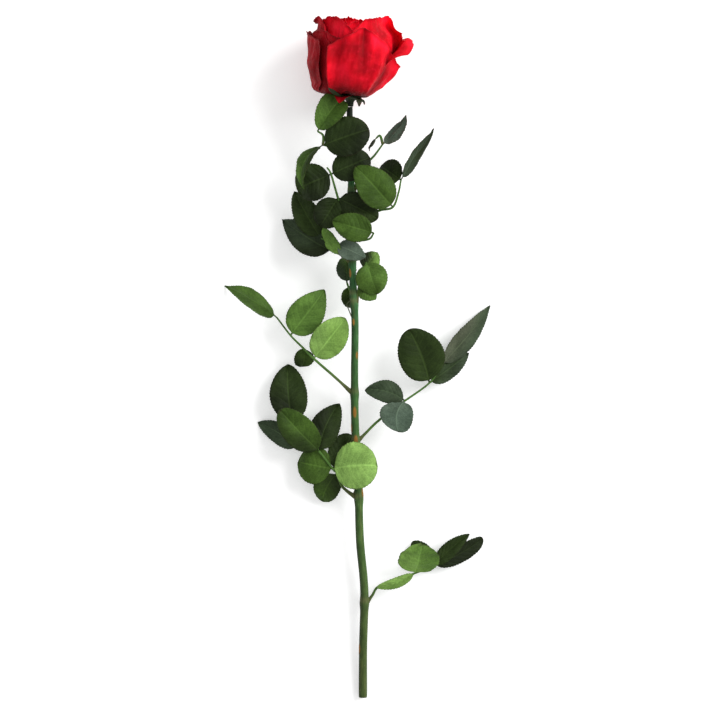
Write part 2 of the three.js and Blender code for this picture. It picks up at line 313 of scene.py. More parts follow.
def math_node(operation: str, turned: bool = False) -> "Callable[..., Wire]":
    """A method that makes one Math node.

    Args:
        operation: What the node does.
        turned: Whether the wire itself comes after the other value.

    Returns:
        The method, which takes the node's other values, if it has any.
    """

    def method(wire: "Wire", *others: "Wire | float") -> "Wire":
        """One Math node on the wire and the others."""
        values = (*others, wire) if turned else (wire, *others)
        return wire.paint.node(
            "ShaderNodeMath", {"operation": operation}, dict(enumerate(values))
        )

    return method


class Wire:
    """A socket of a material that Python's arithmetic works on."""

    def __init__(self, paint: "Paint", socket: bpy.types.NodeSocket) -> None:
        """Args:
            paint: The material that the socket is in.
            socket: An output socket.
        """
        self.paint = paint
        self.socket = socket

    __add__ = math_node("ADD")
    __radd__ = math_node("ADD", True)
    __sub__ = math_node("SUBTRACT")
    __rsub__ = math_node("SUBTRACT", True)
    __mul__ = math_node("MULTIPLY")
    __rmul__ = math_node("MULTIPLY", True)
    __abs__ = math_node("ABSOLUTE")
    fraction = math_node("FRACT")
    larger = math_node("MAXIMUM")

    def step(self, low: float, high: float) -> "Wire":
        """A smooth step from 0 at `low` to 1 at `high`; `low` may be the larger."""
        settings = {"interpolation_type": "SMOOTHSTEP", "clamp": True}
        return self.paint.node("ShaderNodeMapRange", settings, {0: self, 1: low, 2: high})

    def part(self, axis: str) -> "Wire":
        """One number of a vector: "X", "Y" or "Z"."""
        return self.paint.node("ShaderNodeSeparateXYZ", {}, {0: self}, axis)


class Paint:
    """A node material that is put together from expressions."""

    def __init__(self, name: str) -> None:
        """Args:
            name: The material's name.
        """
        self.material = bpy.data.materials.new(name)
        self.material.use_nodes = True
        self.tree = self.material.node_tree
        self.tree.nodes.clear()

    def node(
        self, kind: str, settings: dict, sockets: dict, output: str | int = 0
    ) -> Wire:
        """Adds a node.

        Args:
            kind: The node's type.
            settings: Its own settings.
            sockets: A value or a Wire for each input, by name or number.
            output: The output that is wanted.

        Returns:
            That output.
        """
        made = self.tree.nodes.new(kind)
        for key, value in settings.items():
            setattr(made, key, value)
        for key, value in sockets.items():
            if isinstance(value, Wire):
                self.tree.links.new(value.socket, made.inputs[key])
            else:
                made.inputs[key].default_value = value
        outputs = made.outputs
        return Wire(self, outputs[output]) if len(outputs) else Wire(self, None)

    def position(self) -> Wire:
        """The place on the piece, in metres."""
        return self.node("ShaderNodeTexCoord", {}, {}, "Object")

    def sheet(self, axis: str) -> Wire:
        """0 to 1 across the sheet ("X") or along it ("Y")."""
        return self.node("ShaderNodeUVMap", {"uv_map": "surface"}, {}, "UV").part(axis)

    def tint(self) -> Wire:
        """The colour that the mesh carries."""
        return self.node("ShaderNodeAttribute", {"attribute_name": "tint"}, {}, "Color")

    def vector(self, x: Wire | float, y: Wire | float, z: Wire | float = 0.0) -> Wire:
        """Three numbers as a vector."""
        return self.node("ShaderNodeCombineXYZ", {}, {0: x, 1: y, 2: z})

    def grain(self, place: Wire, scale: float, detail: float = 2.0, rough: float = 0.5) -> Wire:
        """Soft noise around 0.5.

        Args:
            place: Where it is read.
            scale: How fine it is.
            detail: How many finer layers it has.
            rough: How strong those are.

        Returns:
            The noise.
        """
        sockets = {"Vector": place, "Scale": scale, "Detail": detail, "Roughness": rough}
        return self.node("ShaderNodeTexNoise", {}, sockets)

    def cells(self, place: Wire, scale: float, feature: str = "F1") -> Wire:
        """The distance to the nearest cell centre, or to the nearest cell edge."""
        return self.node(
            "ShaderNodeTexVoronoi", {"feature": feature}, {"Vector": place, "Scale": scale},
            "Distance",
        )

    def mix(
        self, share: Wire | float, first: Wire | Colour, second: Wire | Colour, how: str = "MIX"
    ) -> Wire:
        """A colour between two others, or another blend of the two."""
        sockets = {0: share, 6: self._colour(first), 7: self._colour(second)}
        return self.node("ShaderNodeMix", {"data_type": "RGBA", "blend_type": how}, sockets, 2)

    def shade(self, share: Wire | float, colour: Wire | Colour, by: Wire | Colour) -> Wire:
        """A colour multiplied by another, as far as `share` says."""
        return self.mix(share, colour, by, "MULTIPLY")

    def mottle(
        self, strength: float, colour: Wire, pattern: Wire, dark: Colour, light: Colour
    ) -> Wire:
        """A colour that a pattern darkens where it is 0 and lightens where it is 1."""
        return self.shade(strength, colour, self.mix(pattern, dark, light))

    @staticmethod
    def _colour(value: Wire | Colour) -> Wire | tuple[float, ...]:
        """A colour with its alpha, or the wire as it is."""
        return value if isinstance(value, Wire) else (*value, 1.0)

    def surface(
        self,
        colour: Wire | Colour,
        roughness: Wire | float,
        relief: Wire | None = None,
        depth: float = 0.3,
        constants: dict | None = None,
    ) -> bpy.types.Material:
        """Ends the material in one Principled shader.

        Args:
            colour: Its base colour.
            roughness: Its roughness.
            relief: The height that the light reads, 0 to 1.
            depth: What that height stands for, in millimetres.
            constants: Plain values for its other sockets.

        Returns:
            The material.
        """
        sockets = {"Base Color": self._colour(colour), "Roughness": roughness}
        if relief is not None:
            bump = {"Height": relief, "Distance": depth * MM, "Strength": 1.0}
            sockets["Normal"] = self.node("ShaderNodeBump", {}, bump)
        sockets.update(constants or {})
        shader = self.node("ShaderNodeBsdfPrincipled", {}, sockets)
        self.node("ShaderNodeOutputMaterial", {}, {"Surface": shader})
        return self.material


@dataclass(frozen=True)
class PetalFinish:
    """Preserved rose petal: deep velvety red with fine lengthwise veins and a crinkled skin."""

    deep: Colour = (0.30, 0.0004, 0.005)
    full: Colour = (0.58, 0.0008, 0.009)
    bright: Colour = (0.95, 0.014, 0.046)
    # Painted shade colour near the claw, deep in the bloom.
    base: Colour = (0.16, 0.0008, 0.005)
    dried: Colour = (0.12, 0.006, 0.008)
    sheen: float = 0.05
    gloss: float = 0.08
    depth: float = 0.45

    def material(self) -> bpy.types.Material:
        """Returns:
            The finished material.
        """
        paint = Paint("petal velvet")
        across, along, place = paint.sheet("X"), paint.sheet("Y"), paint.position()
        fan = paint.vector(across * 34, along * 2.4, place.part("X") * 9)
        veins = paint.grain(fan, 1.0, 5.0, 0.6)
        crinkle = paint.grain(place, 320, 4.0, 0.55)
        cloud = paint.grain(place, 60, 2.0)
        velvet = paint.grain(place, 2600, 2.0, 0.6)
        fullness = veins.step(0.25, 0.8) * 0.2 + cloud.step(0.3, 0.62) * 0.8
        colour = paint.mix(fullness, self.deep, self.full)
        brightness = cloud.step(0.45, 0.75) * 0.35 + crinkle.step(0.45, 0.8) * 0.22
        colour = paint.mix(brightness, colour, self.bright)
        # Painted shade: darker towards the claw, deep in the bloom.
        colour = paint.mix(along.step(0.45, 0.02) * 0.8, colour, self.base)
        side = abs(across - 0.5) * 2
        rim = (along + crinkle * 0.02).step(0.985, 1.012)
        margin = (side + crinkle * 0.03).step(0.985, 1.015)
        colour = paint.mix(rim.larger(margin) * 0.4, colour, self.dried)
        colour = paint.shade(1.0, colour, paint.tint())
        relief = veins * 0.12 + crinkle * 0.6 + velvet * 0.12
        constants = {
            "Sheen Weight": self.sheen,
            "Sheen Roughness": 0.4,
            "Sheen Tint": (1.0, 0.16, 0.2, 1.0),
            "Specular IOR Level": self.gloss,
        }
        return paint.surface(colour, 0.5 + crinkle * 0.25, relief, self.depth, constants)


# How many side veins a leaflet has, and how they lean and bend towards the tip.
VEIN_PAIRS = 8.0
VEIN_SLANT = 1.5
VEIN_BEND = 0.7


class LeafSide(Enum):
    """Which face of a leaf a finish is for."""

    UPPER = "upper"
    UNDER = "under"


@dataclass(frozen=True)
class LeafFinish:
    """Leaf skin: a midrib, forking side veins, a fine net between them and a soft mottling."""

    side: LeafSide
    under_cast: Colour = (0.092, 0.135, 0.105)
    vein_cast: Colour = (0.17, 0.26, 0.07)
    dry: Colour = (0.03, 0.022, 0.012)
    gloss: float = 0.1
    depth: float = 0.4

    def material(self) -> bpy.types.Material:
        """Returns:
            The finished material.
        """
        under = self.side is LeafSide.UNDER
        paint = Paint(f"leaf {self.side.value} side")
        across, along, place = paint.sheet("X"), paint.sheet("Y"), paint.position()
        away = abs(across - 0.5) * 2
        wobble = paint.grain(place, 160, 2.0) - 0.5
        march = along * VEIN_PAIRS - away * VEIN_SLANT - away * away * VEIN_BEND + wobble * 0.35
        side_vein = abs(march.fraction() - 0.5).step(0.1, 0.0) * away.step(1.05, 0.35)
        midrib = away.step(0.075, 0.02)
        net = paint.cells(place, 620, "DISTANCE_TO_EDGE").step(0.16, 0.0)
        vein = midrib.larger(side_vein * 0.5).larger(net * 0.2)
        cloud = paint.grain(place, 75, 4.0, 0.6)
        speck = paint.grain(place, 900, 3.0, 0.65)
        tint = paint.tint()
        if under:
            tint = paint.mix(0.72, tint, self.under_cast)
        blotch, dust = cloud.step(0.3, 0.7), speck.step(0.35, 0.65)
        colour = paint.mottle(1.0, tint, blotch, (0.72, 0.74, 0.7), (1.22, 1.2, 1.2))
        colour = paint.mottle(0.8, colour, dust, (0.8, 0.8, 0.8), (1.15, 1.15, 1.1))
        pale = paint.mix(0.1, paint.shade(1.0, tint, (1.7, 1.7, 1.7)), self.vein_cast)
        colour = paint.mix(vein * (0.6 if under else 0.55), colour, pale)
        margin = (away + wobble * 0.1).step(0.955, 1.0)
        point = (along + wobble * 0.06).step(0.965, 1.0)
        colour = paint.mix(margin.larger(point) * 0.55, colour, self.dry)
        pillow = abs(march.fraction() - 0.5).step(0.0, 0.45)
        ribs = vein * 0.55 if under else pillow * 0.5 - vein * 0.35
        relief = ribs + net * -0.12 + speck * 0.12 + 0.4
        rough = (0.7 if under else 0.5) + cloud * 0.16
        return paint.surface(colour, rough, relief, self.depth, {"Specular IOR Level": self.gloss})


@dataclass(frozen=True)
class BarkFinish:
    """Green rose bark: lengthwise fibres, pale pores and a tint that the mesh carries."""

    name: str = "stem bark"
    fibre: float = 1.0
    roughness: float = 0.55
    pore: Colour = (0.16, 0.15, 0.07)
    gloss: float = 0.16

    def material(self) -> bpy.types.Material:
        """Returns:
            The finished material.
        """
        paint = Paint(self.name)
        across, along, place = paint.sheet("X"), paint.sheet("Y"), paint.position()
        lines = paint.grain(paint.vector(across * 26, along * 60 * self.fibre, 3.0), 1.0, 4.0, 0.6)
        patch = paint.grain(place, 110, 3.0)
        pores = paint.cells(
            paint.vector(place.part("X"), place.part("Y") * 0.4, place.part("Z")), 700
        ).step(0.22, 0.1)
        fibres, stains = lines.step(0.3, 0.7), patch.step(0.35, 0.7)
        colour = paint.mottle(1.0, paint.tint(), fibres, (0.7, 0.7, 0.7), (1.25, 1.25, 1.2))
        colour = paint.mottle(0.8, colour, stains, (0.75, 0.8, 0.75), (1.2, 1.2, 1.2))
        colour = paint.mix(pores * patch.step(0.5, 0.6) * 0.4, colour, self.pore)
        relief = lines * 0.6 + patch * 0.3 + pores * 0.15
        rough = self.roughness + patch * 0.15
        return paint.surface(colour, rough, relief, 0.3, {"Specular IOR Level": self.gloss})


@dataclass(frozen=True)
class CutFinish:
    """The sawn end of the stem: dull wood, paler in specks."""

    wood: Colour = (0.24, 0.2, 0.1)
    pale: Colour = (0.42, 0.37, 0.2)

    def material(self) -> bpy.types.Material:
        """Returns:
            The finished material.
        """
        paint = Paint("cut wood")
        specks = paint.grain(paint.position(), 900, 4.0, 0.6)
        colour = paint.mix(specks.step(0.3, 0.7), self.wood, self.pale)
        return paint.surface(colour, 0.8, specks, 0.3, {"Specular IOR Level": 0.3})


@dataclass(frozen=True)
class TableFinish:
    """A plain pale table."""

    colour: Colour = (0.93, 0.93, 0.93)
    glow: float = 0.3

    def material(self) -> bpy.types.Material:
        """Returns:
            The finished material.
        """
        paint = Paint("pale table")
        fine = paint.grain(paint.position(), 40, 3.0)
        colour = paint.mix(fine, self.colour, tuple(c * 0.985 for c in self.colour))
        constants = {
            "Specular IOR Level": 0.1,
            "Emission Color": (1.0, 1.0, 1.0, 1.0),
            "Emission Strength": self.glow,
        }
        return paint.surface(colour, 0.9, None, 0.0, constants)


# ---- leaves ------------------------------------------------------------------------------------


class Tone(Enum):
    """The greens that single leaflets are dyed."""

    NIGHT = (0.0105, 0.017, 0.0052)
    DARK = (0.020, 0.036, 0.0075)
    OLIVE = (0.036, 0.056, 0.030)
    MOSS = (0.044, 0.088, 0.013)
    FERN = (0.085, 0.168, 0.030)
    STONE = (0.070, 0.082, 0.052)
    LIME = (0.165, 0.300, 0.062)
    PALE = (0.215, 0.375, 0.090)


@dataclass(frozen=True)
class Blade:
    """One leaflet, from the joint `on` (twig, joint) to its tip, measured from the leaf's node.

    `roll` and `fold` are in degrees, and a roll of 180 shows the underside. `arch` and `sweep` bow
    it upwards and sideways, in millimetres; `point` is how far back its widest place lies. The
    colour drifts from `tone` at its foot to `other` at its tip: partly the leaflet's own colour,
    partly painted shade and highlight where it turns from or towards the light.
    """

    on: tuple[int, int]
    tip: tuple[float, float, float]
    width: float
    tone: Tone
    other: Tone | None = None
    roll: float = 0.0
    arch: float = 0.0
    fold: float = 0.0
    sweep: float = 0.0
    point: float = 0.8


@dataclass(frozen=True)
class LeafPlan:
    """A compound leaf: its place along the stem, its stalks and its leaflets."""

    height: float
    twigs: tuple[tuple[tuple[float, float, float], ...], ...]
    blades: tuple[Blade, ...]


LEAF_PLANS = (
    LeafPlan(401, (((-9, 2, 3), (-20, 4, 5)), ((-20, 11, 5), (-24, 14, 6))), (
        Blade((1, 1), (-7, 38, 9), 23, Tone.FERN, Tone.MOSS, roll=-12, arch=2, fold=22, point=0.22),
        Blade((0, 1), (-35, -28, 8), 15, Tone.DARK, Tone.FERN, roll=50, arch=4, fold=12, sweep=7,
              point=0.9),
        Blade((0, 1), (13, 15, 12), 29, Tone.DARK, Tone.NIGHT, roll=-4, arch=3, fold=6, point=0.5),
    )),
    LeafPlan(372, (((10, 18, 0), (17, 26, 1), (23, 34, 3)), ((21, 40, 5), (18, 38, 5))), (
        Blade((0, 2), (41, 54, 5), 14, Tone.STONE, Tone.OLIVE, roll=132, arch=2, fold=10),
        Blade((1, 1), (12, 30, 3), 7, Tone.STONE, roll=75, fold=10),
    )),
    LeafPlan(350, (((11, 4, -1), (21, 8, 3), (30, 10, 8), (34, 20, 9), (36, 30, 5)),), (
        Blade((0, 2), (3, 39, 16), 27, Tone.MOSS, roll=4, arch=3, fold=8, point=0.7),
        Blade((0, 4), (21, 41, -4), 20, Tone.DARK, Tone.NIGHT, arch=1, fold=6, point=0.5),
        Blade((0, 4), (61, 67, 2), 15, Tone.OLIVE, Tone.NIGHT, roll=58, arch=1, fold=8, sweep=-3,
              point=1),
    )),
    LeafPlan(342, (((-6, 14, 3), (-10, 25, 5), (-15, 42, 7), (-18, 47, 8)),), (
        Blade((0, 2), (13, 54, 10), 23, Tone.DARK, Tone.NIGHT, roll=-4, arch=2.5, fold=5, point=0.5),
        Blade((0, 2), (-40, 31, 2), 28, Tone.NIGHT, Tone.DARK, roll=6, arch=2, fold=6, point=0.5),
        Blade((0, 1), (19, 10, 7), 22, Tone.NIGHT, Tone.DARK, roll=5, arch=1.5, fold=5, point=0.6),
        Blade((0, 1), (-23, 4, 3), 22, Tone.DARK, Tone.NIGHT, roll=-6, arch=2, fold=5, point=0.55),
    )),
    LeafPlan(337, (((6, -1, 5), (13, 0, 9), (16, 4, 12)),), (
        Blade((0, 2), (-14, 13, 12), 21, Tone.MOSS, roll=-3, arch=2.5, fold=7, point=0.7),
    )),
    LeafPlan(321, (((-8, 5, 3), (-11, 12, 4), (-18, 15, -1), (-23, 17, -5)), ((-14, 7, -3),)), (
        Blade((0, 3), (-43, 52, -16), 20, Tone.DARK, roll=-8, arch=3, fold=8),
        Blade((1, 0), (-52, 32, -19), 25, Tone.NIGHT, Tone.OLIVE, roll=8, arch=3, fold=8, sweep=-2,
              point=1),
        Blade((0, 0), (-22, 25, 1), 14, Tone.LIME, Tone.FERN, roll=-48, arch=1, fold=14),
        Blade((0, 1), (10, 2, 7), 15, Tone.STONE, roll=176, arch=-3, fold=6),
    )),
    LeafPlan(297, (((-4, 6, -5), (-5, 9, -9)),), (
        Blade((0, 1), (-6, 28, -11), 15, Tone.OLIVE, Tone.MOSS, roll=10, arch=1, fold=8, point=0.6),
        Blade((0, 0), (-2, -10, -10), 13, Tone.MOSS, Tone.DARK, roll=-12, arch=1, fold=8, point=0.6),
    )),
    LeafPlan(291, (((4, 13, 4), (7, 24, 6), (9, 29, 6)),), (
        Blade((0, 2), (17, 6, 6), 24, Tone.FERN, Tone.MOSS, roll=6, arch=2, fold=7, point=0.6),
        Blade((0, 0), (16, 2, 1), 14, Tone.MOSS, Tone.FERN, roll=6, arch=1, fold=7),
        Blade((0, 1), (17, 37, 1), 15, Tone.NIGHT, Tone.LIME, roll=-6, arch=1, fold=6),
    )),
    LeafPlan(225, (((-14, 11, 1), (-30, 25, 1), (-38, 33, 0), (-47, 42, -1), (-57, 55, -4)),), (
        Blade((0, 4), (-97, 78, -20), 18, Tone.FERN, roll=-40, arch=2, fold=8, sweep=5, point=1),
        Blade((0, 3), (-22, 75, 4), 26, Tone.FERN, roll=5, arch=2, fold=6),
        Blade((0, 1), (-7, 54, 9), 25, Tone.PALE, Tone.LIME, roll=5, arch=2, fold=6, point=0.6),
        Blade((0, 2), (-40, 18, -9), 15, Tone.MOSS, Tone.DARK, roll=-8, arch=1.5, fold=6, sweep=-2,
              point=0.6),
    )),
    LeafPlan(190, (((7, 5, 0), (15, 13, 1), (25, 21, 1), (36, 29, 1), (54, 42, -2), (63, 55, -3)),), (
        Blade((0, 5), (100, 99, -17), 17, Tone.STONE, Tone.OLIVE, roll=24, arch=2, fold=8, point=0.9),
        Blade((0, 4), (39, 81, 6), 34, Tone.DARK, roll=-4, arch=3, fold=6, sweep=2, point=0.55),
        Blade((0, 4), (84, 64, -14), 15, Tone.DARK, Tone.OLIVE, roll=10, arch=1, fold=6),
        Blade((0, 3), (7, 37, 4), 17, Tone.OLIVE, roll=6, arch=1.5, fold=6, sweep=3, point=0.7),
        Blade((0, 3), (31, 6, 5), 25, Tone.STONE, Tone.OLIVE, roll=178, arch=-4, fold=6, sweep=-4,
              point=0.5),
    )),
    LeafPlan(148,
        (((-12, 8, 1), (-16, 18, 3), (-19, 21, 3), (-29, 34, 4), (-39, 45, 2), (-48, 54, -1)),
         ((-38, 37, -1), (-45, 36, -4))), (
        Blade((0, 5), (-52, 98, -9), 28, Tone.NIGHT, Tone.DARK, roll=4, arch=3, fold=7, sweep=-2,
              point=0.7),
        Blade((0, 3), (-57, 64, 20), 24, Tone.DARK, Tone.MOSS, roll=-6, arch=4, fold=7, point=0.5),
        Blade((0, 3), (-14, 69, -3), 22, Tone.NIGHT, Tone.DARK, roll=4, arch=2, fold=6, sweep=-3),
        Blade((1, 1), (-75, 55, -14), 16, Tone.OLIVE, roll=-4, arch=1, fold=8, sweep=2),
        Blade((0, 2), (-45, 26, -3), 28, Tone.MOSS, roll=3, arch=2, fold=6, point=0.6),
        Blade((0, 1), (-27, -4, -8), 20, Tone.DARK, Tone.MOSS, roll=-4, arch=1, fold=6, sweep=2,
              point=0.6),
        Blade((0, 2), (13, 24, 13), 35, Tone.PALE, roll=-5, arch=4, fold=5, sweep=-1, point=0.45),
        Blade((0, 2), (-5, 46, -6), 21, Tone.DARK, roll=5, arch=-1, fold=5, point=0.5),
    )),
    LeafPlan(71, (((6, 5, 0), (10, 11, 1), (22, 16, 2), (37, 21, 2), (51, 26, 1)),), (
        Blade((0, 4), (88, 46, -9), 14, Tone.NIGHT, roll=16, arch=1, fold=16, sweep=1, point=0.5),
        Blade((0, 4), (77, 50, 1), 12, Tone.DARK, roll=-12, arch=1, fold=12, sweep=-1),
        Blade((0, 3), (42, 42, 20), 31, Tone.LIME, Tone.FERN, roll=14, arch=1, fold=5, point=0.5),
        Blade((0, 4), (35, 44, -4), 15, Tone.DARK, roll=-4, arch=1, fold=6, point=0.6),
        Blade((0, 3), (9, 11, 5), 8, Tone.LIME, Tone.PALE, roll=12, arch=1, fold=8, sweep=-2,
              point=0.6),
    )),
)


STALK_DYES = ((0.08, 0.085, 0.03), (0.07, 0.15, 0.03))


@dataclass
class Leaf:
    """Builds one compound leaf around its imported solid."""

    plan: LeafPlan
    number: int
    thickness: float = 0.42
    stalk_radius: float = 1.1
    stalk_tip_radius: float = 0.62
    tooth: float = 2.1
    tooth_depth: float = 0.55
    columns: int = 18
    bare_share: float = 0.06
    stub_width: float = 1.2
    point_width: float = 0.5
    wave: float = 1.5
    rib: float = 0.35
    pillow: float = 0.22
    margin_curl: float = 1.1
    tip_dip: float = 1.5

    def outline(self, blade: Blade, along: float) -> float:
        """The half-width of a leaflet, without its teeth.

        Args:
            blade: The leaflet.
            along: The share of its length.

        Returns:
            The half-width, in millimetres.
        """
        share = clamp((along - self.bare_share) / (1 - self.bare_share))
        widest = 0.5 / (0.5 + blade.point)
        full = math.sqrt(widest) * (1 - widest) ** blade.point
        swell = math.sqrt(share) * (1 - share) ** blade.point / full
        narrowest = blend(self.stub_width, self.point_width, share)
        return max(narrowest, blade.width * swell) / 2

    def add_blade(self, mesh: PieceMesh, blade: Blade, seed: int) -> None:
        """Adds one leaflet with toothed margins, sunken veins and a gently waved surface.

        Args:
            mesh: The leaf's mesh.
            blade: The leaflet.
            seed: Sets its own waves.
        """
        base = self.node_point() + Vector(self.plan.twigs[blade.on[0]][blade.on[1]])
        tip = self.node_point() + Vector(blade.tip)
        span = tip - base
        length = span.length
        direction = span.normalized()
        flat = direction.cross(UP).normalized()
        right = Matrix.Rotation(math.radians(blade.roll), 3, direction) @ flat
        normal = right.cross(direction)
        fold = math.radians(blade.fold)
        teeth = max(6, round(length * (1 - self.bare_share) / self.tooth))
        rows = 5 * teeth
        columns = max(10, min(self.columns, round(blade.width * 0.8)) // 2 * 2)
        # Its two colours: partly the leaflet's own, partly painted shade and highlight where it turns
        # from or towards the light.
        tones_and_shades = (blade.tone.value, (blade.other or blade.tone).value)
        loose = clamp(blade.width / 20, 0.2, 1.2)

        def place(across: float, along: float) -> Vector:
            """A point of the leaflet."""
            side = 2 * across - 1
            away = abs(side)
            half = self.outline(blade, along)
            leafy = ease(along, self.bare_share, self.bare_share + 0.1)
            saw = (along - self.bare_share) / (1 - self.bare_share) * teeth % 1.0
            reach = self.tooth_depth * leafy * (saw - 0.5) * ease(1 - along, 0.0, 0.12)
            half += reach * ease(away, 0.82, 1.0)
            bow = 4 * along * (1 - along)
            wave = ripple(side * 1.3 + seed * 7.1, along * 3.0, seed * 1.7) * loose
            ruffle = ripple(side * 0.7, along * 9.0 + seed, seed * 3.3) * loose
            march = (along * VEIN_PAIRS - away * VEIN_SLANT - away * away * VEIN_BEND) % 1.0
            pillow = self.pillow * math.sin(math.pi * march) * ease(away, 0.02, 0.25)
            pillow *= ease(1 - away, 0, 0.2)
            rib = -self.rib * bell(away * half, 0, 0.8)
            curl = -self.margin_curl * ease(away, 0.55, 1.0) * bow
            lift = wave * self.wave * leafy + ruffle * away * away * leafy
            lift += (pillow + rib) * leafy + curl
            tip_dip = -self.tip_dip * ease(along, 0.75, 1.0) ** 2
            reach_side = half * side * math.cos(fold) + blade.sweep * bow
            reach_up = abs(half * side) * math.sin(fold) + blade.arch * bow + lift + tip_dip
            return base + span * along + right * reach_side + normal * reach_up

        def tint(across: float, along: float) -> Colour:
            """The colour there, drifting over the leaflet: partly its own colour, partly painted shade
            and highlight.
            """
            drift = ripple(across * 2 + seed, along * 2.5, seed * 0.9)
            share = ease(0.5 * across + 0.5 * along + drift * 0.2, 0.2, 0.75)
            dye = mix_colours(*tones_and_shades, share)
            shift = 1 + 0.3 * drift
            return tuple(c * shift for c in dye)

        mesh.grid(columns, rows, place, tint)

    def node_point(self) -> Vector:
        """Where the leaf's node is on the stem's centre line."""
        return STEM_LINE.point(self.plan.height / STEM_LENGTH)

    def stalk_start(self, joint: Vector) -> Vector:
        """Where the leaf stalk leaves the stem's skin, measured from the node.

        Args:
            joint: The stalk's first joint.

        Returns:
            The start of the stalk, sunk a little into the bark.
        """
        share = self.plan.height / STEM_LENGTH
        stemwards = STEM_LINE.heading(share)
        outwards = joint - stemwards * joint.dot(stemwards)
        return outwards.normalized() * (stem_radius(share) * 0.75)

    def add_stalks(self, mesh: PieceMesh) -> None:
        """Adds the leaf stalk with its swollen foot, and any side stalks.

        Args:
            mesh: The leaf's mesh.
        """
        node = self.node_point()
        main = [Vector(joint) for joint in self.plan.twigs[0]]
        for i, twig in enumerate(self.plan.twigs):
            joints = [Vector(joint) for joint in twig]
            if i == 0:
                start = self.stalk_start(joints[0])
            else:
                start = min(main, key=lambda joint: (joint - joints[0]).length)
            curve = SmoothCurve([node + joint for joint in (start, *joints)])
            foot = 1.0 if i == 0 else 0.0
            self.add_bar(mesh, curve, foot, 8 * (len(curve.points) - 1))

    def add_bar(self, mesh: PieceMesh, curve: SmoothCurve, foot: float, rows: int) -> None:
        """Adds one stalk along a curve.

        Args:
            mesh: The leaf's mesh.
            curve: Its centre line.
            foot: 1 for a stalk that clasps the stem, 0 for a side stalk.
            rows: Faces along it.
        """

        def place(turn: float, along: float) -> Vector:
            """A point of the stalk's skin, which has a shallow groove on top."""
            right, front = cross_axes(curve.heading(along))
            angle = 2 * math.pi * turn
            radius = blend(self.stalk_radius, self.stalk_tip_radius, along)
            radius *= 1 + 0.55 * foot * bell(along, 0.0, 0.09) - 0.18 * bell(turn, 0.25, 0.07)
            middle = curve.point(along)
            return middle + right * (radius * math.cos(angle)) + front * (radius * math.sin(angle))

        def tint(turn: float, along: float) -> Colour:
            """Green, browner at the foot."""
            return mix_colours(*STALK_DYES, ease(along, 0.0, 0.35))

        mesh.tube(10, rows, place, tint, 2)

    def build(self, paints: Sequence) -> bpy.types.Object:
        """Builds the leaf.

        Args:
            paints: Upper side, underside and stalk.

        Returns:
            The finished object.
        """
        mesh = PieceMesh()
        for i, blade in enumerate(self.plan.blades):
            self.add_blade(mesh, blade, self.number * 10 + i)
        leaf = f"leaf_{self.number:02d}"
        blades = mesh.finish(f"leaflets_{self.number:02d}", leaf, "leaf", paints)
        thicken(blades, self.thickness, 1)
        stalks = PieceMesh()
        self.add_stalks(stalks)
        stalks.finish(f"leaf_stalk_{self.number:02d}", None, "leaf", paints)
        return blades


# ---- stem --------------------------------------------------------------------------------------


@dataclass(frozen=True)
class Scar:
    """A mark where a thorn was taken off: height, turn in degrees (90 faces up), size."""

    height: float
    turn: float
    size: float = 1.5


# The bark's colour at the cut end, then the colours it turns to between two heights.
BARK_FOOT = (0.040, 0.062, 0.016)
BARK_DYES = (
    ((0.034, 0.080, 0.019), 20, 180),
    ((0.024, 0.084, 0.028), 160, 330),
    ((0.009, 0.013, 0.008), 395, 418),
)
BARK_STAIN = (0.10, 0.10, 0.03)
NODE_DYE = (0.13, 0.12, 0.05)
SCAR_DYE = (0.34, 0.135, 0.02)
STUB_DYES = ((0.07, 0.1, 0.035), (0.2, 0.15, 0.07))
SPRIG_DYE = (0.05, 0.06, 0.03)


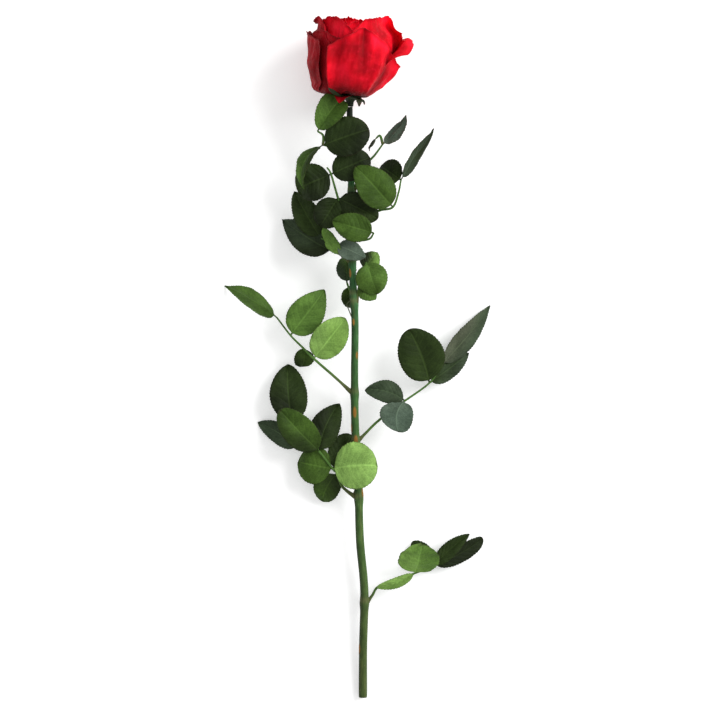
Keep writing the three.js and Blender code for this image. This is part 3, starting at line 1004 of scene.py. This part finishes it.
@dataclass
class Stem:
    """Builds the long stem with its nodes, thorn scars, thorn stubs and sawn end."""

    sides: int = 36
    rows: int = 560
    node_swell: float = 0.55
    lumps: tuple[float, float, float] = (0.22, 0.08, 0.07)
    scar_lip: float = 0.3
    cut_bevel: float = 0.2
    scars: tuple[Scar, ...] = (
        Scar(312.5, 132, 1.5),
        Scar(276.7, 115, 1.2),
        Scar(252.6, 55, 1.3),
        Scar(210.9, 92, 1.9),
        Scar(199.2, 165, 1.6),
        Scar(190.4, 88, 1.7),
        Scar(151.7, 25, 1.6),
        Scar(120.0, 250, 1.6),
        Scar(95.0, 300, 1.5),
        Scar(36.2, 160, 1.8),
        Scar(230.0, 280, 1.6),
        Scar(330.0, 240, 1.4),
    )
    stubs: tuple[Scar, ...] = (
        Scar(151.7, 182, 2.0),
        Scar(171.0, 262, 2.2),
    )
    heights: tuple[float, ...] = tuple(plan.height for plan in LEAF_PLANS)
    sprig: tuple[tuple[float, float, float], ...] = (
        (-5.8, 276.0, 0.0), (-8.5, 281.0, 1.5), (-11.0, 287.0, 2.5),
        (-11.9, 289.5, 3.0), (-9.9, 292.0, 3.2),
    )
    sprig_radius: float = 0.55

    def marks(self, turn: float, height: float) -> float:
        """How strongly a thorn scar shows at a turn in degrees and a height.

        Args:
            turn: Degrees round the stem.
            height: Distance from the cut end.

        Returns:
            0 to 1.
        """
        strongest = 0.0
        for scar in self.scars:
            gap = (turn - scar.turn + 180) % 360 - 180
            off = math.hypot(math.radians(gap) * CUT_RADIUS, (height - scar.height) / 2.6)
            strongest = max(strongest, 1 - ease(off, scar.size * 0.55, scar.size))
        return strongest

    def skin(self, turn: float, along: float) -> Vector:
        """A point of the bark.

        Args:
            turn: Share of a turn, 0 on the right, growing upwards.
            along: Share of the length.

        Returns:
            The point.
        """
        height = along * STEM_LENGTH
        angle = 2 * math.pi * turn
        swell = sum(bell(height, node - 1.0, 4.0) for node in self.heights)
        swell += 0.5 * sum(bell(height, stub.height, 3.0) for stub in self.stubs)
        around = Vector((math.cos(angle), math.sin(angle), height * 0.012))
        broad, small, fine = self.lumps
        uneven = noise.noise(around * 1.1) * broad + noise.noise(around * 3.1) * small
        grain = ripple(math.cos(angle) * 5, math.sin(angle) * 5, height * 0.05) * fine
        scar = self.marks(math.degrees(angle), height)
        radius = stem_radius(along) + self.node_swell * swell + uneven + grain
        radius += self.scar_lip * scar * (1 - 0.6 * scar * scar)
        radius -= self.cut_bevel * bell(height, 0, 0.6)
        right, front = cross_axes(STEM_LINE.heading(along))
        reach = right * radius * math.cos(angle), front * radius * math.sin(angle)
        return STEM_LINE.point(along) + reach[0] + reach[1]

    def bark(self, turn: float, along: float) -> Colour:
        """The bark's colour: olive at the foot, blue-green higher up, nearly black at the neck, with a
        painted highlight on its right side and painted shade on its left.

        Args:
            turn: Share of a turn, 0 on the right, growing upwards.
            along: Share of the length.

        Returns:
            The colour.
        """
        height = along * STEM_LENGTH
        colour = BARK_FOOT
        for dye, start, end in BARK_DYES:
            colour = mix_colours(colour, dye, ease(height, start, end))
        angle = 2 * math.pi * turn
        # Painted light: painted highlight on the right and upper side, painted shade on the left and
        # lower side.
        painted_light_side = 0.5 + 0.5 * math.cos(angle - 0.5)
        colour = tuple(c * blend(0.35, 1.6, painted_light_side) for c in colour)
        drift = ripple(math.cos(angle), math.sin(angle), height * 0.03)
        colour = mix_colours(colour, BARK_STAIN, 0.35 * ease(drift, 0.1, 0.6))
        node = max(bell(height, knot + 1.5, 2.2) for knot in self.heights)
        colour = mix_colours(colour, NODE_DYE, 0.45 * node)
        return mix_colours(colour, SCAR_DYE, 0.8 * self.marks(math.degrees(angle), height))

    def add_stub(self, mesh: PieceMesh, stub: Scar) -> None:
        """Adds what is left of a clipped thorn: a short, flattened, backswept cone.

        Args:
            mesh: The stem's mesh.
            stub: Its place.
        """
        share = stub.height / STEM_LENGTH
        heading = STEM_LINE.heading(share)
        right, front = cross_axes(heading)
        angle = math.radians(stub.turn)
        out = right * math.cos(angle) + front * math.sin(angle)
        aside = heading.cross(out)
        foot = STEM_LINE.point(share) + out * stem_radius(share) * 0.8

        def place(turn: float, along: float) -> Vector:
            """A point of the stub."""
            swing = 2 * math.pi * turn
            taper = (1 - along) ** 0.8 + 0.22
            lengthways = heading * (math.cos(swing) * 2.6 * taper - along * 1.6)
            sideways = aside * (math.sin(swing) * 0.95 * taper)
            return foot + lengthways + sideways + out * stub.size * along

        mesh.tube(12, 6, place, lambda turn, along: mix_colours(*STUB_DYES, along))

    def add_sprig(self, mesh: PieceMesh) -> None:
        """Adds the dry, hooked sprig that a lost leaf left behind.

        Args:
            mesh: The stem's mesh.
        """
        lift = STEM_LINE.point(self.sprig[0][1] / STEM_LENGTH).z
        curve = SmoothCurve([(x, y, z + lift) for x, y, z in self.sprig])

        def place(turn: float, along: float) -> Vector:
            """A point of the sprig's skin."""
            right, front = cross_axes(curve.heading(along))
            angle = 2 * math.pi * turn
            radius = self.sprig_radius * blend(1.5, 0.7, ease(along, 0, 0.4))
            around = right * math.cos(angle) + front * math.sin(angle)
            return curve.point(along) + around * radius

        mesh.tube(8, 24, place, lambda turn, along: SPRIG_DYE)

    def build(self, paints: Sequence) -> bpy.types.Object:
        """Builds the stem.

        Args:
            paints: The bark and the sawn end.

        Returns:
            The finished object.
        """
        mesh = PieceMesh()
        left = mesh.tube(self.sides, self.rows, self.skin, self.bark)
        self.saw_end(mesh, left)
        for stub in self.stubs:
            self.add_stub(mesh, stub)
        self.add_sprig(mesh)
        return mesh.finish("rose_stem", "stem", "stem", paints)

    def saw_end(self, mesh: PieceMesh, left: Sequence[bmesh.types.BMVert]) -> None:
        """Gives the cut end a rim of bark around wood with two shallow steps.

        Args:
            mesh: The stem's mesh.
            left: Its corners.
        """
        ends = {facet for corner in left for facet in corner.link_faces if len(facet.verts) > 4}
        end = min(ends, key=lambda facet: facet.calc_center_median().y)
        for thickness, depth in ((0.3, 0.0), (0.15, -0.15), (1.6, 0.0), (0.12, -0.2)):
            bmesh.ops.inset_region(mesh.mesh, faces=[end], thickness=thickness, depth=depth)
            end.material_index = 1
            end.smooth = False
        ring = {facet for edge in end.edges for facet in edge.link_faces}
        for facet in ring:
            facet.material_index = 1


# ---- bloom -------------------------------------------------------------------------------------


class Profile:
    """A petal's side view, claw to rim: a cubic curve in radius and height, by arc length."""

    def __init__(self, corners: Sequence[tuple[float, float]], samples: int = 160) -> None:
        """Args:
            corners: The curve's four control points as (radius, height).
            samples: How finely it is measured.
        """
        self.places: list[Vector] = []
        for i in range(samples + 1):
            t = i / samples
            shares = ((1 - t) ** 3, 3 * t * (1 - t) ** 2, 3 * t * t * (1 - t), t**3)
            self.places.append(
                sum((Vector(c) * s for c, s in zip(corners, shares)), Vector((0.0, 0.0)))
            )
        self.marks = [0.0]
        for before, after in zip(self.places, self.places[1:]):
            self.marks.append(self.marks[-1] + (after - before).length)
        self.total = self.marks[-1]

    def length(self, share: float) -> float:
        """The arc length at a share of the curve's own parameter; past 1 it goes straight on."""
        last = len(self.marks) - 1
        place = clamp(share) * last
        i = min(int(place), last - 1)
        inside = blend(self.marks[i], self.marks[i + 1], place - i)
        return inside + max(share - 1, 0) * self.total

    def at(self, length: float) -> tuple[Vector, Vector]:
        """Args:
            length: Arc length from the claw.

        Returns:
            The point and the outward normal there, both as (radius, height).
        """
        low = int(clamp(bisect_right(self.marks, length) - 1, 0, len(self.marks) - 2))
        start, end = self.places[low], self.places[low + 1]
        step = self.marks[low + 1] - self.marks[low]
        heading = (end - start) / step
        normal = Vector((heading.y, -heading.x))
        return start + heading * (length - self.marks[low]), normal


@dataclass(frozen=True)
class Fold:
    """A straight line across a petal past which it rolls outwards.

    `aim` is the direction of the roll in degrees, 0 to the left side of the petal as it is seen
    from outside and 90 to its tip; `start` is the distance from the middle of its belly.
    """

    aim: float
    start: float
    radius: float


@dataclass(frozen=True)
class Crease:
    """A lengthwise ridge or hollow: its turn in degrees, half-width, height and reach.

    Its last number is painted shade and highlight: how much each millimetre of height darkens a
    hollow's colour and lightens a ridge's.
    """

    turn: float
    width: float
    height: float
    low: float
    high: float
    painted_shading: float = 0.2


@dataclass(frozen=True)
class PetalPlan:
    """One petal: its middle and half-span in degrees, its outline and how its rim turns out.

    `outline` gives the rim's height at even steps from the right edge to the left, as a share of
    the whorl's; `rim` and `sides` are the widths that roll outwards, in millimetres. `flare` is
    how far the rim leans out, `spread` how high up the petal reaches its full width. `shade` is
    painted light over the whole petal: below 1 painted shade on one turned from the light or deep
    in the bloom, above 1 a painted highlight on a lit one.
    """

    middle: float
    half: float
    outline: tuple[float, ...] = (0.72, 0.93, 0.99, 1.0, 0.99, 0.93, 0.72)
    rim: float = 4.5
    rim_radius: float = 3.0
    sides: tuple[float, float] = (3.0, 3.0)
    side_radius: float = 3.0
    flare: float = 0.0
    shade: float = 1.0
    spread: float = 0.45
    folds: tuple[Fold, ...] = ()
    creases: tuple[Crease, ...] = ()


@dataclass(frozen=True)
class Whorl:
    """A ring of petals: the belly's radius, the rim's height and radius, and its petals.

    `wave` scales how wavy they are; `seat` and `swell` say how full their bellies are.
    """

    belly: float
    height: float
    mouth: float
    petals: tuple[PetalPlan, ...]
    wave: float = 1.0
    seat: float = 1.05
    swell: float = 1.12


# Whether a petal's right and left edges lie over (1) or under (-1) their neighbours', by count.
OVERLAPS = {
    3: ((1, 1), (-1, -1), (1, -1)),
    4: ((1, 1), (-1, -1), (1, 1), (-1, -1)),
    5: ((1, 1), (-1, -1), (1, 1), (-1, 1), (-1, -1)),
}


def even_petals(count: int, start: float, half: float, **looks: float) -> tuple[PetalPlan, ...]:
    """A ring of like petals.

    Args:
        count: How many.
        start: The first one's direction in degrees.
        half: Half the angle that each spans.
        looks: What else they share.

    Returns:
        Their plans.
    """
    return tuple(PetalPlan(start + 360 / count * i, half, **looks) for i in range(count))


# Each petal's shade is painted light: lower on the shaded left and innermost petals, higher on the lit
# top ones.
WHORLS = (
    Whorl(
        33.0, 50.0, 32.5,
        (
            PetalPlan(
                68, 56, (0.7, 0.77, 0.83, 0.89, 0.95, 0.995, 0.93, 0.87, 0.80),
                rim=2.5, rim_radius=3.0, sides=(0.0, 7.5), side_radius=5.0, spread=0.26,
                folds=(Fold(188, 15.5, 19.0),),
                creases=(
                    Crease(78, 4.0, -2.0, 0.5, 0.9),
                    Crease(67, 5.0, 1.9, 0.5, 0.9),
                    Crease(52, 7.0, 2.0, 0.15, 0.5, 0.15),
                    Crease(96, 5.0, 1.0, 0.45, 0.85, 0.1),
                    Crease(102, 17.0, -0.9, 0.62, 0.2, 0.8),
                    Crease(36, 6.0, -1.2, 0.2, 0.5, 0.3),
                ),
            ),
            PetalPlan(
                138, 54, (0.78, 0.88, 0.93, 0.95, 0.93, 0.88, 0.78), rim=3.0, shade=0.5,
                sides=(3.0, 1.0),
            ),
            PetalPlan(
                202, 66, (0.87, 0.9, 0.94, 0.96, 0.95, 0.92, 0.75), rim=2.5, sides=(3.5, 3.0),
                side_radius=4.5, shade=0.47,
            ),
            PetalPlan(278, 56, (0.72, 0.92, 1.0, 1.03, 1.0, 0.94, 0.7), rim=6.0, rim_radius=3.4),
            PetalPlan(
                337, 62, (0.72, 0.9, 0.96, 0.97, 0.95, 1.01, 0.9), rim=1.5, rim_radius=6.0,
                sides=(3.0, 0.0), flare=2.0, shade=1.15, folds=(Fold(46, 23.0, 8.5),),
            ),
        ),
        1.0, 1.02, 1.06,
    ),
    Whorl(
        27.8, 56.0, 25.0,
        (
            PetalPlan(
                38, 56, (0.98, 1.06, 1.06, 1.04, 1.02, 1.0, 0.88), rim=3.0, rim_radius=3.0,
                folds=(Fold(150, 25.0, 3.4),), shade=1.25,
            ),
            PetalPlan(
                134, 50, (0.84, 0.95, 1.0, 1.02, 1.0, 0.97, 0.9), rim=4.5, sides=(5.0, 4.0),
                side_radius=4.0, shade=1.0,
            ),
            PetalPlan(176, 54, (0.8, 0.95, 1.0, 1.01, 1.0, 0.96, 0.8), rim=5.0, shade=0.6),
            PetalPlan(244, 54, rim=5.5),
            PetalPlan(316, 54, rim=5.5),
        ),
        1.0,
    ),
    Whorl(22.6, 57.5, 19.5, even_petals(5, 66, 54, rim=5.0, rim_radius=2.6, shade=1.15), 1.0),
    Whorl(17.4, 58.0, 14.0, even_petals(5, 34, 56, rim=4.0, rim_radius=2.2, shade=1.1), 0.9),
    Whorl(12.2, 57.0, 9.0, even_petals(4, 80, 66, rim=3.0, rim_radius=1.8, shade=0.85), 0.8),
    Whorl(7.0, 56.0, 4.5, even_petals(3, 50, 84, rim=2.0, rim_radius=1.5, shade=0.8), 0.5),
)


@dataclass(frozen=True)
class Strap:
    """A sepal, or a small guard petal: its turn, its keel as (radius, height) and its width."""

    turn: float
    keel: tuple[tuple[float, float], ...]
    width: float = 5.6
    twist: float = 0.0


SEPALS = (
    Strap(58, ((6.0, -1.0), (9.5, -1.0), (12.2, -1.8), (13.4, -4.0), (13.2, -6.6)), 9.6, 6),
    Strap(122, ((7.0, -1.2), (14.0, -0.6), (21.0, 1.0), (27.5, 4.6), (31.5, 11.5)), 5.2, -14),
    Strap(184, ((6.0, -1.0), (10.0, -1.4), (14.0, -2.0), (17.5, -3.6), (19.0, -6.4)), 5.4, 20),
    Strap(246, ((6.0, -1.0), (10.0, -1.3), (15.0, -1.8), (20.0, -2.2), (24.5, -4.5)), 5.4, -25),
    Strap(318, ((6.0, -1.0), (10.0, -1.3), (13.5, -1.5), (16.0, -2.3), (17.5, -3.8)), 5.4, 15),
)
GUARD_PETAL = Strap(115, ((6.0, 0.4), (9.5, 0.4), (13.0, -0.2), (15.8, -1.8), (17.2, -5.6)), 15.0, 8)


# How wide each side of the bloom stands: from one factor to another between two heights.
RIGHT_STEPS = ((0.66, 0.86, (2, 24)), (1.0, 1.13, (26, 38)), (1.0, 0.84, (45, 53)))
LEFT_STEPS = ((1.12, 0.95, (1, 9)), (1.0, 1.05, (30, 44)))
# Colours at the foot and at the tip.
GREEN_STRAP = ((0.020, 0.032, 0.012), (0.040, 0.030, 0.014))
RED_STRAP = ((0.3, 0.3, 0.3), (0.7, 0.7, 0.7))
HIP_DYES = ((0.014, 0.020, 0.011), (0.03, 0.045, 0.02))


@dataclass
class Bloom:
    """Builds hip, sepals and petals in the bloom's own frame: rim of the hip at 0, axis +Y.

    Turns are measured in degrees from +X towards +Z, so 90 faces up from the table. `tuck` is how
    far an edge slips over or under its neighbour, `foot` the height of the outer petals' claws,
    and `claw_step` and `claw_rise` how far in and up those of each further whorl are.
    """

    whorls: tuple[Whorl, ...] = WHORLS
    tuck: float = 1.3
    thickness: float = 0.42
    claw_step: float = 1.1
    claw_rise: float = 0.9
    foot: float = 1.4
    # Painted highlight along the petals' rolled side margins and rims.
    painted_lip_highlight: float = 0.3
    sepals: tuple[Strap, ...] = SEPALS
    guard: Strap = GUARD_PETAL
    turned: Matrix = field(default_factory=lambda: (
        Matrix.Rotation(math.radians(BLOOM_LIFT), 3, "X")
        @ Matrix.Rotation(math.radians(BLOOM_LEAN), 3, "Z")
    ))

    def placed(self, point: Vector) -> Vector:
        """A point of the bloom's frame in the flower's frame.

        The right side is drawn in at its foot and at its rim, the left side stands square.

        Args:
            point: The point, in the bloom's frame.

        Returns:
            The same point in the flower's frame.
        """
        x = point.x
        for side, steps in ((point.x, RIGHT_STEPS), (-point.x, LEFT_STEPS)):
            factor = math.prod(blend(low, high, ease(point.y, *reach)) for low, high, reach in steps)
            x *= blend(1.0, factor, ease(side, 2, 22))
        return STEM_LINE.point(1.0) + self.turned @ Vector((x, point.y + HIP_HEIGHT, point.z))

    def profile(self, ring: int) -> Profile:
        """The side view of a whorl's petals.

        Args:
            ring: The whorl, 0 outside.

        Returns:
            Their common side view.
        """
        whorl = self.whorls[ring]
        inner = ring / (len(self.whorls) - 1)
        foot = self.foot + self.claw_rise * ring
        claw = HIP_RADIUS - 0.5 - self.claw_step * ring
        return Profile(
            (
                (claw, foot),
                (whorl.belly * whorl.seat, foot - 3.5 * (1 - inner)),
                (whorl.belly * whorl.swell, whorl.height * 0.38),
                (whorl.mouth, whorl.height),
            )
        )

    def build_hip(self, paints: Sequence) -> None:
        """Builds the swollen green hip under the petals by turning its side view round the axis.

        Args:
            paints: Its material.
        """
        mesh = PieceMesh()
        rings = len(self.whorls) - 1
        profile = SmoothCurve(
            [
                (NECK_RADIUS * 0.9, -HIP_HEIGHT + 0.3, 0),
                (NECK_RADIUS * 1.2, -HIP_HEIGHT + 0.8, 0),
                (NECK_RADIUS * 1.25, -HIP_HEIGHT * 0.72, 0),
                (NECK_RADIUS * 1.35, -HIP_HEIGHT * 0.4, 0),
                (HIP_RADIUS * 0.6, -1.0, 0),
                (HIP_RADIUS, 0, 0),
                (HIP_RADIUS - self.claw_step * rings, self.claw_rise * rings, 0),
            ]
        )

        def place(turn: float, along: float) -> Vector:
            """A point of the hip, with five soft ribs under the sepals."""
            angle = 2 * math.pi * turn
            side = profile.point(along)
            rib = 0.25 * math.cos(5 * (angle - math.radians(30))) * bell(along, 0.5, 0.25)
            pit = 0.12 * ripple(math.cos(angle) * 6, math.sin(angle) * 6, along * 8)
            radius = side.x + rib + pit
            return self.placed(Vector((radius * math.cos(angle), side.y, radius * math.sin(angle))))

        mesh.tube(48, 36, place, lambda turn, along: mix_colours(*HIP_DYES, ease(along, 0.2, 0.8)))
        mesh.finish("rose_hip", "hip", "sepal", paints)

    def build_strap(self, strap: Strap, colours: tuple[Colour, Colour]) -> PieceMesh:
        """Builds a pointed strap that leaves the hip's rim and turns down or up.

        Args:
            strap: Its shape.
            colours: At its foot and at its tip.

        Returns:
            Its mesh.
        """
        middle = math.radians(strap.turn)
        curve = SmoothCurve([(*knot, 0) for knot in strap.keel])

        def place(across: float, along: float) -> Vector:
            """A point of the strap."""
            side = 2 * across - 1
            outline = 0.55 + 1.3 * along - 1.8 * along**2
            ragged = ripple(along * 9, strap.turn, side) * 0.35
            ragged *= ease(abs(side), 0.6, 1) * ease(1 - along, 0, 0.2)
            half = strap.width / 2 * max(outline, 0.06) + ragged
            heading = curve.heading(along)
            spot = curve.point(along)
            twist = math.radians(strap.twist) * (2 * along - 0.6)
            cup = 0.6 * side * side - 0.3 * bell(side, 0, 0.3)
            lean = math.sin(twist) * half * side
            radius = spot.x - heading.y * (cup + lean)
            height = spot.y + heading.x * (cup + lean)
            sideways = math.cos(twist) * half * side
            x = radius * math.cos(middle) - sideways * math.sin(middle)
            z = radius * math.sin(middle) + sideways * math.cos(middle)
            return self.placed(Vector((x, height, z)))

        mesh = PieceMesh()
        mesh.grid(12, 32, place, lambda across, along: mix_colours(*colours, ease(along, 0.4, 1.0)))
        return mesh

    def build(self, petal: Sequence, green: Sequence) -> None:
        """Builds the whole bloom.

        Args:
            petal: The petals' material.
            green: The hip's and sepals' material.
        """
        self.build_hip(green)
        for i, strap in enumerate(self.sepals, start=1):
            mesh = self.build_strap(strap, GREEN_STRAP)
            thicken(mesh.finish(f"rose_sepal_{i}", f"sepal_{i}", "sepal", green), 0.6)
        guard = self.build_strap(self.guard, RED_STRAP)
        thicken(guard.finish("guard_petal", None, "petal", petal), 0.4)
        places = [(ring, i) for ring, whorl in enumerate(self.whorls) for i in range(len(whorl.petals))]
        for number, (ring, index) in enumerate(places, start=1):
            Petal(self, ring, index, number).build(petal)


@dataclass(frozen=True)
class Wrinkle:
    """One scale of a petal's wrinkles: how it runs over the sheet, and its height.

    `first` and `second` are the two places in the noise, each per unit across and along.
    """

    first: tuple[float, float]
    second: tuple[float, float]
    seed: float
    height: float

    def at(self, side: float, along: float, number: int) -> float:
        """The wrinkle's height at a place of a petal.

        Args:
            side: -1 at the petal's right edge to 1 at its left.
            along: 0 at the claw to 1 at the rim.
            number: The petal's number.

        Returns:
            The height, in millimetres.
        """
        x = side * self.first[0] + along * self.first[1]
        y = side * self.second[0] + along * self.second[1]
        return ripple(x, y, number * self.seed) * self.height


WRINKLES = (
    Wrinkle((3.1, 0), (0, 2.3), 1.3, 1.5),
    Wrinkle((5, 4), (-3, 3.4), 1.9, 0.9),
    Wrinkle((11, 8), (-5, 7), 2.9, 0.5),
    Wrinkle((24, -4), (0, 9), 3.3, 0.2),
)
# How many faces a petal has each way, whorl by whorl.
FINENESS = (84, 68, 56, 48, 44, 40)


@dataclass
class Petal:
    """Builds one petal of a bloom.

    `ring` is its whorl, 0 outside, `index` its place in that whorl, and `number` its place in the
    whole bloom, from 1. `waves` gives how fine its two sizes of wave are, and how high.
    """

    bloom: Bloom
    ring: int
    index: int
    number: int
    claw_spread: float = 0.36
    least_girth: float = 4.0
    most_bend: float = 2.6
    rags: tuple[float, float] = (0.022, 0.011)
    waves: tuple[tuple[float, float], ...] = ((1.0, 1.7), (2.7, 1.0))

    def __post_init__(self) -> None:
        """Looks up its whorl, its plan and its side view."""
        self.inner = self.ring / (len(self.bloom.whorls) - 1)
        self.whorl = self.bloom.whorls[self.ring]
        self.plan = self.whorl.petals[self.index]
        self.edges = OVERLAPS[len(self.whorl.petals)][self.index]
        self.profile = self.bloom.profile(self.ring)
        self.half = math.radians(self.plan.half)

    def rolled(self, distance: float, radius: float) -> tuple[float, float]:
        """What rolling the sheet up does to a point.

        Args:
            distance: How far past the fold line it is.
            radius: The radius of the roll.

        Returns:
            How far the point moves back along the sheet, and outwards.
        """
        if distance <= 0:
            return 0.0, 0.0
        bend = min(distance / radius, self.most_bend)
        rest = distance - bend * radius
        flat = radius * math.sin(bend) + rest * math.cos(bend)
        return distance - flat, radius * (1 - math.cos(bend)) + rest * math.sin(bend)

    def rim_height(self, side: float) -> float:
        """The rim's slightly ragged height.

        Args:
            side: -1 at the right edge to 1 at the left.

        Returns:
            The height, as a share of the whorl's.
        """
        outline = self.plan.outline
        ragged = ripple(side * 4.0, self.number * 3.7, 0.0) * self.rags[0]
        ragged += ripple(side * 11.0, self.number * 5.1, 4.0) * self.rags[1]
        height = 0.0
        for shift in (-0.08, 0.0, 0.08):
            place = (clamp(side + shift, -1, 1) + 1) / 2 * (len(outline) - 1)
            i = min(int(place), len(outline) - 2)
            height += blend(outline[i], outline[i + 1], place - i) / 3
        return height + ragged

    def bent(self, side: float, along: float) -> tuple[float, float, float, float]:
        """What the rolled rim, the rolled sides and the folds make of a point.

        Args:
            side: -1 at the right edge to 1 at the left.
            along: 0 at the claw to 1 at the rim.

        Returns:
            How far up it is, its turn from the petal's middle, its arc length, its way outwards.
        """
        plan, profile = self.plan, self.profile
        top = self.rim_height(side)
        rise = along * top
        length = profile.length(rise)
        spread = blend(self.claw_spread, 1.0, ease(rise, 0, plan.spread))
        turn = self.half * spread * side
        girth = max(profile.at(length)[0].x, self.least_girth)
        vary = ripple(side * 1.7, self.number * 2.3, along)
        upward = length - (profile.length(top) - plan.rim * (1 + 0.5 * vary))
        moves = [(0.0, 1.0, *self.rolled(upward, plan.rim_radius * (1 - 0.3 * vary)))]
        margin = plan.sides[1] if side > 0 else plan.sides[0]
        reach = self.half * girth * spread
        firm = ease(rise, 0.25, 0.6)
        back, out = self.rolled(reach * abs(side) - (reach - margin), plan.side_radius)
        moves.append((math.copysign(1.0, side), 0.0, back * firm, out * firm))
        for fold in plan.folds:
            aim = math.radians(fold.aim)
            toward, upwards = math.cos(aim), math.sin(aim)
            past = turn * girth * toward + (length - profile.total * 0.5) * upwards - fold.start
            back, out = self.rolled(past, fold.radius)
            moves.append((toward, upwards, back * firm, out * firm))
        for toward, upwards, back, _ in moves:
            turn -= toward * back / girth
            length -= upwards * back
        return rise, turn, length, sum(out for *_, out in moves)

    def place(self, across: float, along: float) -> Vector:
        """A point of the petal.

        Args:
            across: 0 at the right edge to 1 at the left.
            along: 0 at the claw to 1 at the rim.

        Returns:
            The point, in the flower's frame.
        """
        side = 2 * across - 1
        rise, turn, length, outwards = self.bent(side, along)
        here, normal = self.profile.at(length)
        angle = math.radians(self.plan.middle) + turn
        slip = self.bloom.tuck * blend(1, 0.7, self.inner) * blend(*self.edges, across)
        spot = Vector((math.cos(angle) * 1.5, math.sin(angle) * 1.5, rise * 1.2 + self.ring * 5))
        wave = sum(noise.noise(spot * fine) * high for fine, high in self.waves)
        wrinkle = sum(wrinkle.at(side, along, self.number) for wrinkle in WRINKLES)
        outwards += slip * ease(rise, 0.12, 0.42)
        outwards += self.whorl.wave * wave * ease(rise, 0.2, 0.9) + wrinkle * ease(rise, 0.1, 0.5)
        outwards += self.plan.flare * ease(along, 0.6, 1.0) * (1 - abs(side) ** 3)
        for crease in self.plan.creases:
            gap = math.degrees(angle) - crease.turn
            reach = ease(rise, crease.low, crease.high)
            outwards += crease.height * bell(gap, 0, crease.width) * reach
        spot = here + normal * outwards
        return self.bloom.placed(
            Vector((spot.x * math.cos(angle), spot.y, spot.x * math.sin(angle)))
        )

    def tint(self, across: float, along: float) -> Colour:
        """The petal's painted light: painted shade towards its claw and in its hollows, painted
        highlight at its lips and on its ridges, and the plan's painted light over the whole petal.

        Args:
            across: 0 at the right edge to 1 at the left.
            along: 0 at the claw to 1 at the rim.

        Returns:
            A grey that the finish multiplies its red by.
        """
        # Painted shade: darker towards the claw, deep in the bloom, most on the outer whorl.
        low, start, end = (0.55, 0.05, 0.55) if self.ring else (0.42, 0.04, 0.5)
        deep = blend(low, 1.0, ease(along, start, end))
        side = 2 * across - 1
        # Painted highlight along the side margins and the rim.
        deep *= 1 + self.bloom.painted_lip_highlight * max(ease(abs(side), 0.8, 0.94), ease(along, 0.9, 0.97))
        # Painted shade in the creases' hollows, painted highlight on their ridges.
        turn = self.plan.middle + self.plan.half * side
        for crease in self.plan.creases:
            reach = bell(turn, crease.turn, crease.width) * ease(along, crease.low, crease.high)
            deep *= 1 + crease.painted_shading * crease.height * reach
        # The plan's shade: painted light over the whole petal.
        return (self.plan.shade * deep,) * 3

    def build(self, paints: Sequence) -> None:
        """Builds the petal.

        Args:
            paints: Its material.
        """
        fineness = FINENESS[self.ring]
        mesh = PieceMesh()
        mesh.grid(fineness, fineness, self.place, self.tint)
        name = f"petal_{self.number:02d}"
        thicken(mesh.finish(f"rose_{name}", name, "petal", paints), self.bloom.thickness)


# ---- studio ------------------------------------------------------------------------------------


@dataclass
class Studio:
    """A pale table, soft light from the right and all round, and a camera that looks down."""

    table_size: float = 6.0
    eye: tuple[float, float] = (-2.19, 248.9)
    eye_level: float = 25.0
    field_of_view: float = 526.3
    lens: float = 150.0
    sensor: float = 36.0
    key_power: float = 92.0
    key_size: float = 1.9
    key_place: tuple[float, float, float] = (2.3, 1.3, 2.1)
    world_strength: float = 0.7

    def build_table(self) -> None:
        """Lays the table under the flower."""
        mesh = bmesh.new()
        bmesh.ops.create_grid(mesh, x_segments=2, y_segments=2, size=self.table_size / 2)
        data = bpy.data.meshes.new("table")
        mesh.to_mesh(data)
        mesh.free()
        table = add_object("table", data)
        data.materials.append(TableFinish().material())

    def build_lamp(self) -> None:
        """Hangs a square soft box to the right, pointed at the middle of the table."""
        light = bpy.data.lights.new("key", "AREA")
        light.shape = "SQUARE"
        light.size = self.key_size
        light.energy = self.key_power
        place = Vector(self.key_place)
        lamp = add_object("key", light)
        lamp.location = place
        lamp.rotation_euler = (Vector((0.0, 0.0, 0.03)) - place).to_track_quat("-Z", "Y").to_euler()

    def build_sky(self) -> None:
        """Fills the room with even white light."""
        world = bpy.data.worlds.new("room")
        world.use_nodes = True
        sky = world.node_tree.nodes["Background"]
        sky.inputs["Color"].default_value = (1.0, 1.0, 1.0, 1.0)
        sky.inputs["Strength"].default_value = self.world_strength
        bpy.context.scene.world = world

    def build_camera(self) -> None:
        """Hangs the camera over the middle of the flower, looking straight down."""
        data = bpy.data.cameras.new("camera")
        data.lens = self.lens
        data.sensor_width = self.sensor
        data.clip_start, data.clip_end = 0.1, 20.0
        camera = add_object("camera", data)
        height = self.eye_level + self.field_of_view * self.lens / self.sensor
        camera.location = (ORIGIN + Vector((*self.eye, 0)) + Vector((0, 0, height - ORIGIN.z))) * MM
        bpy.context.scene.camera = camera

    def build(self) -> None:
        """Sets the studio up."""
        self.build_table()
        self.build_sky()
        self.build_lamp()
        self.build_camera()
        bpy.context.scene.view_settings.view_transform = "Standard"


# ---- the rose ----------------------------------------------------------------------------------


def main() -> None:
    """Builds the rose and its studio."""
    logging.basicConfig(level=logging.INFO, format="%(name)s: %(message)s")
    petal = PetalFinish().material()
    upper = LeafFinish(LeafSide.UPPER).material()
    under = LeafFinish(LeafSide.UNDER).material()
    bark = BarkFinish().material()
    stalk = BarkFinish("leaf stalk", 2.0, 0.5).material()
    green = BarkFinish("sepal", 0.5, 0.55).material()
    Stem().build([bark, CutFinish().material()])
    for number, plan in enumerate(LEAF_PLANS, start=1):
        Leaf(plan, number).build([upper, under, stalk])
    Bloom().build([petal], [green])
    Studio().build()
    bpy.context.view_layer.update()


if __name__ == "__main__":
    main()
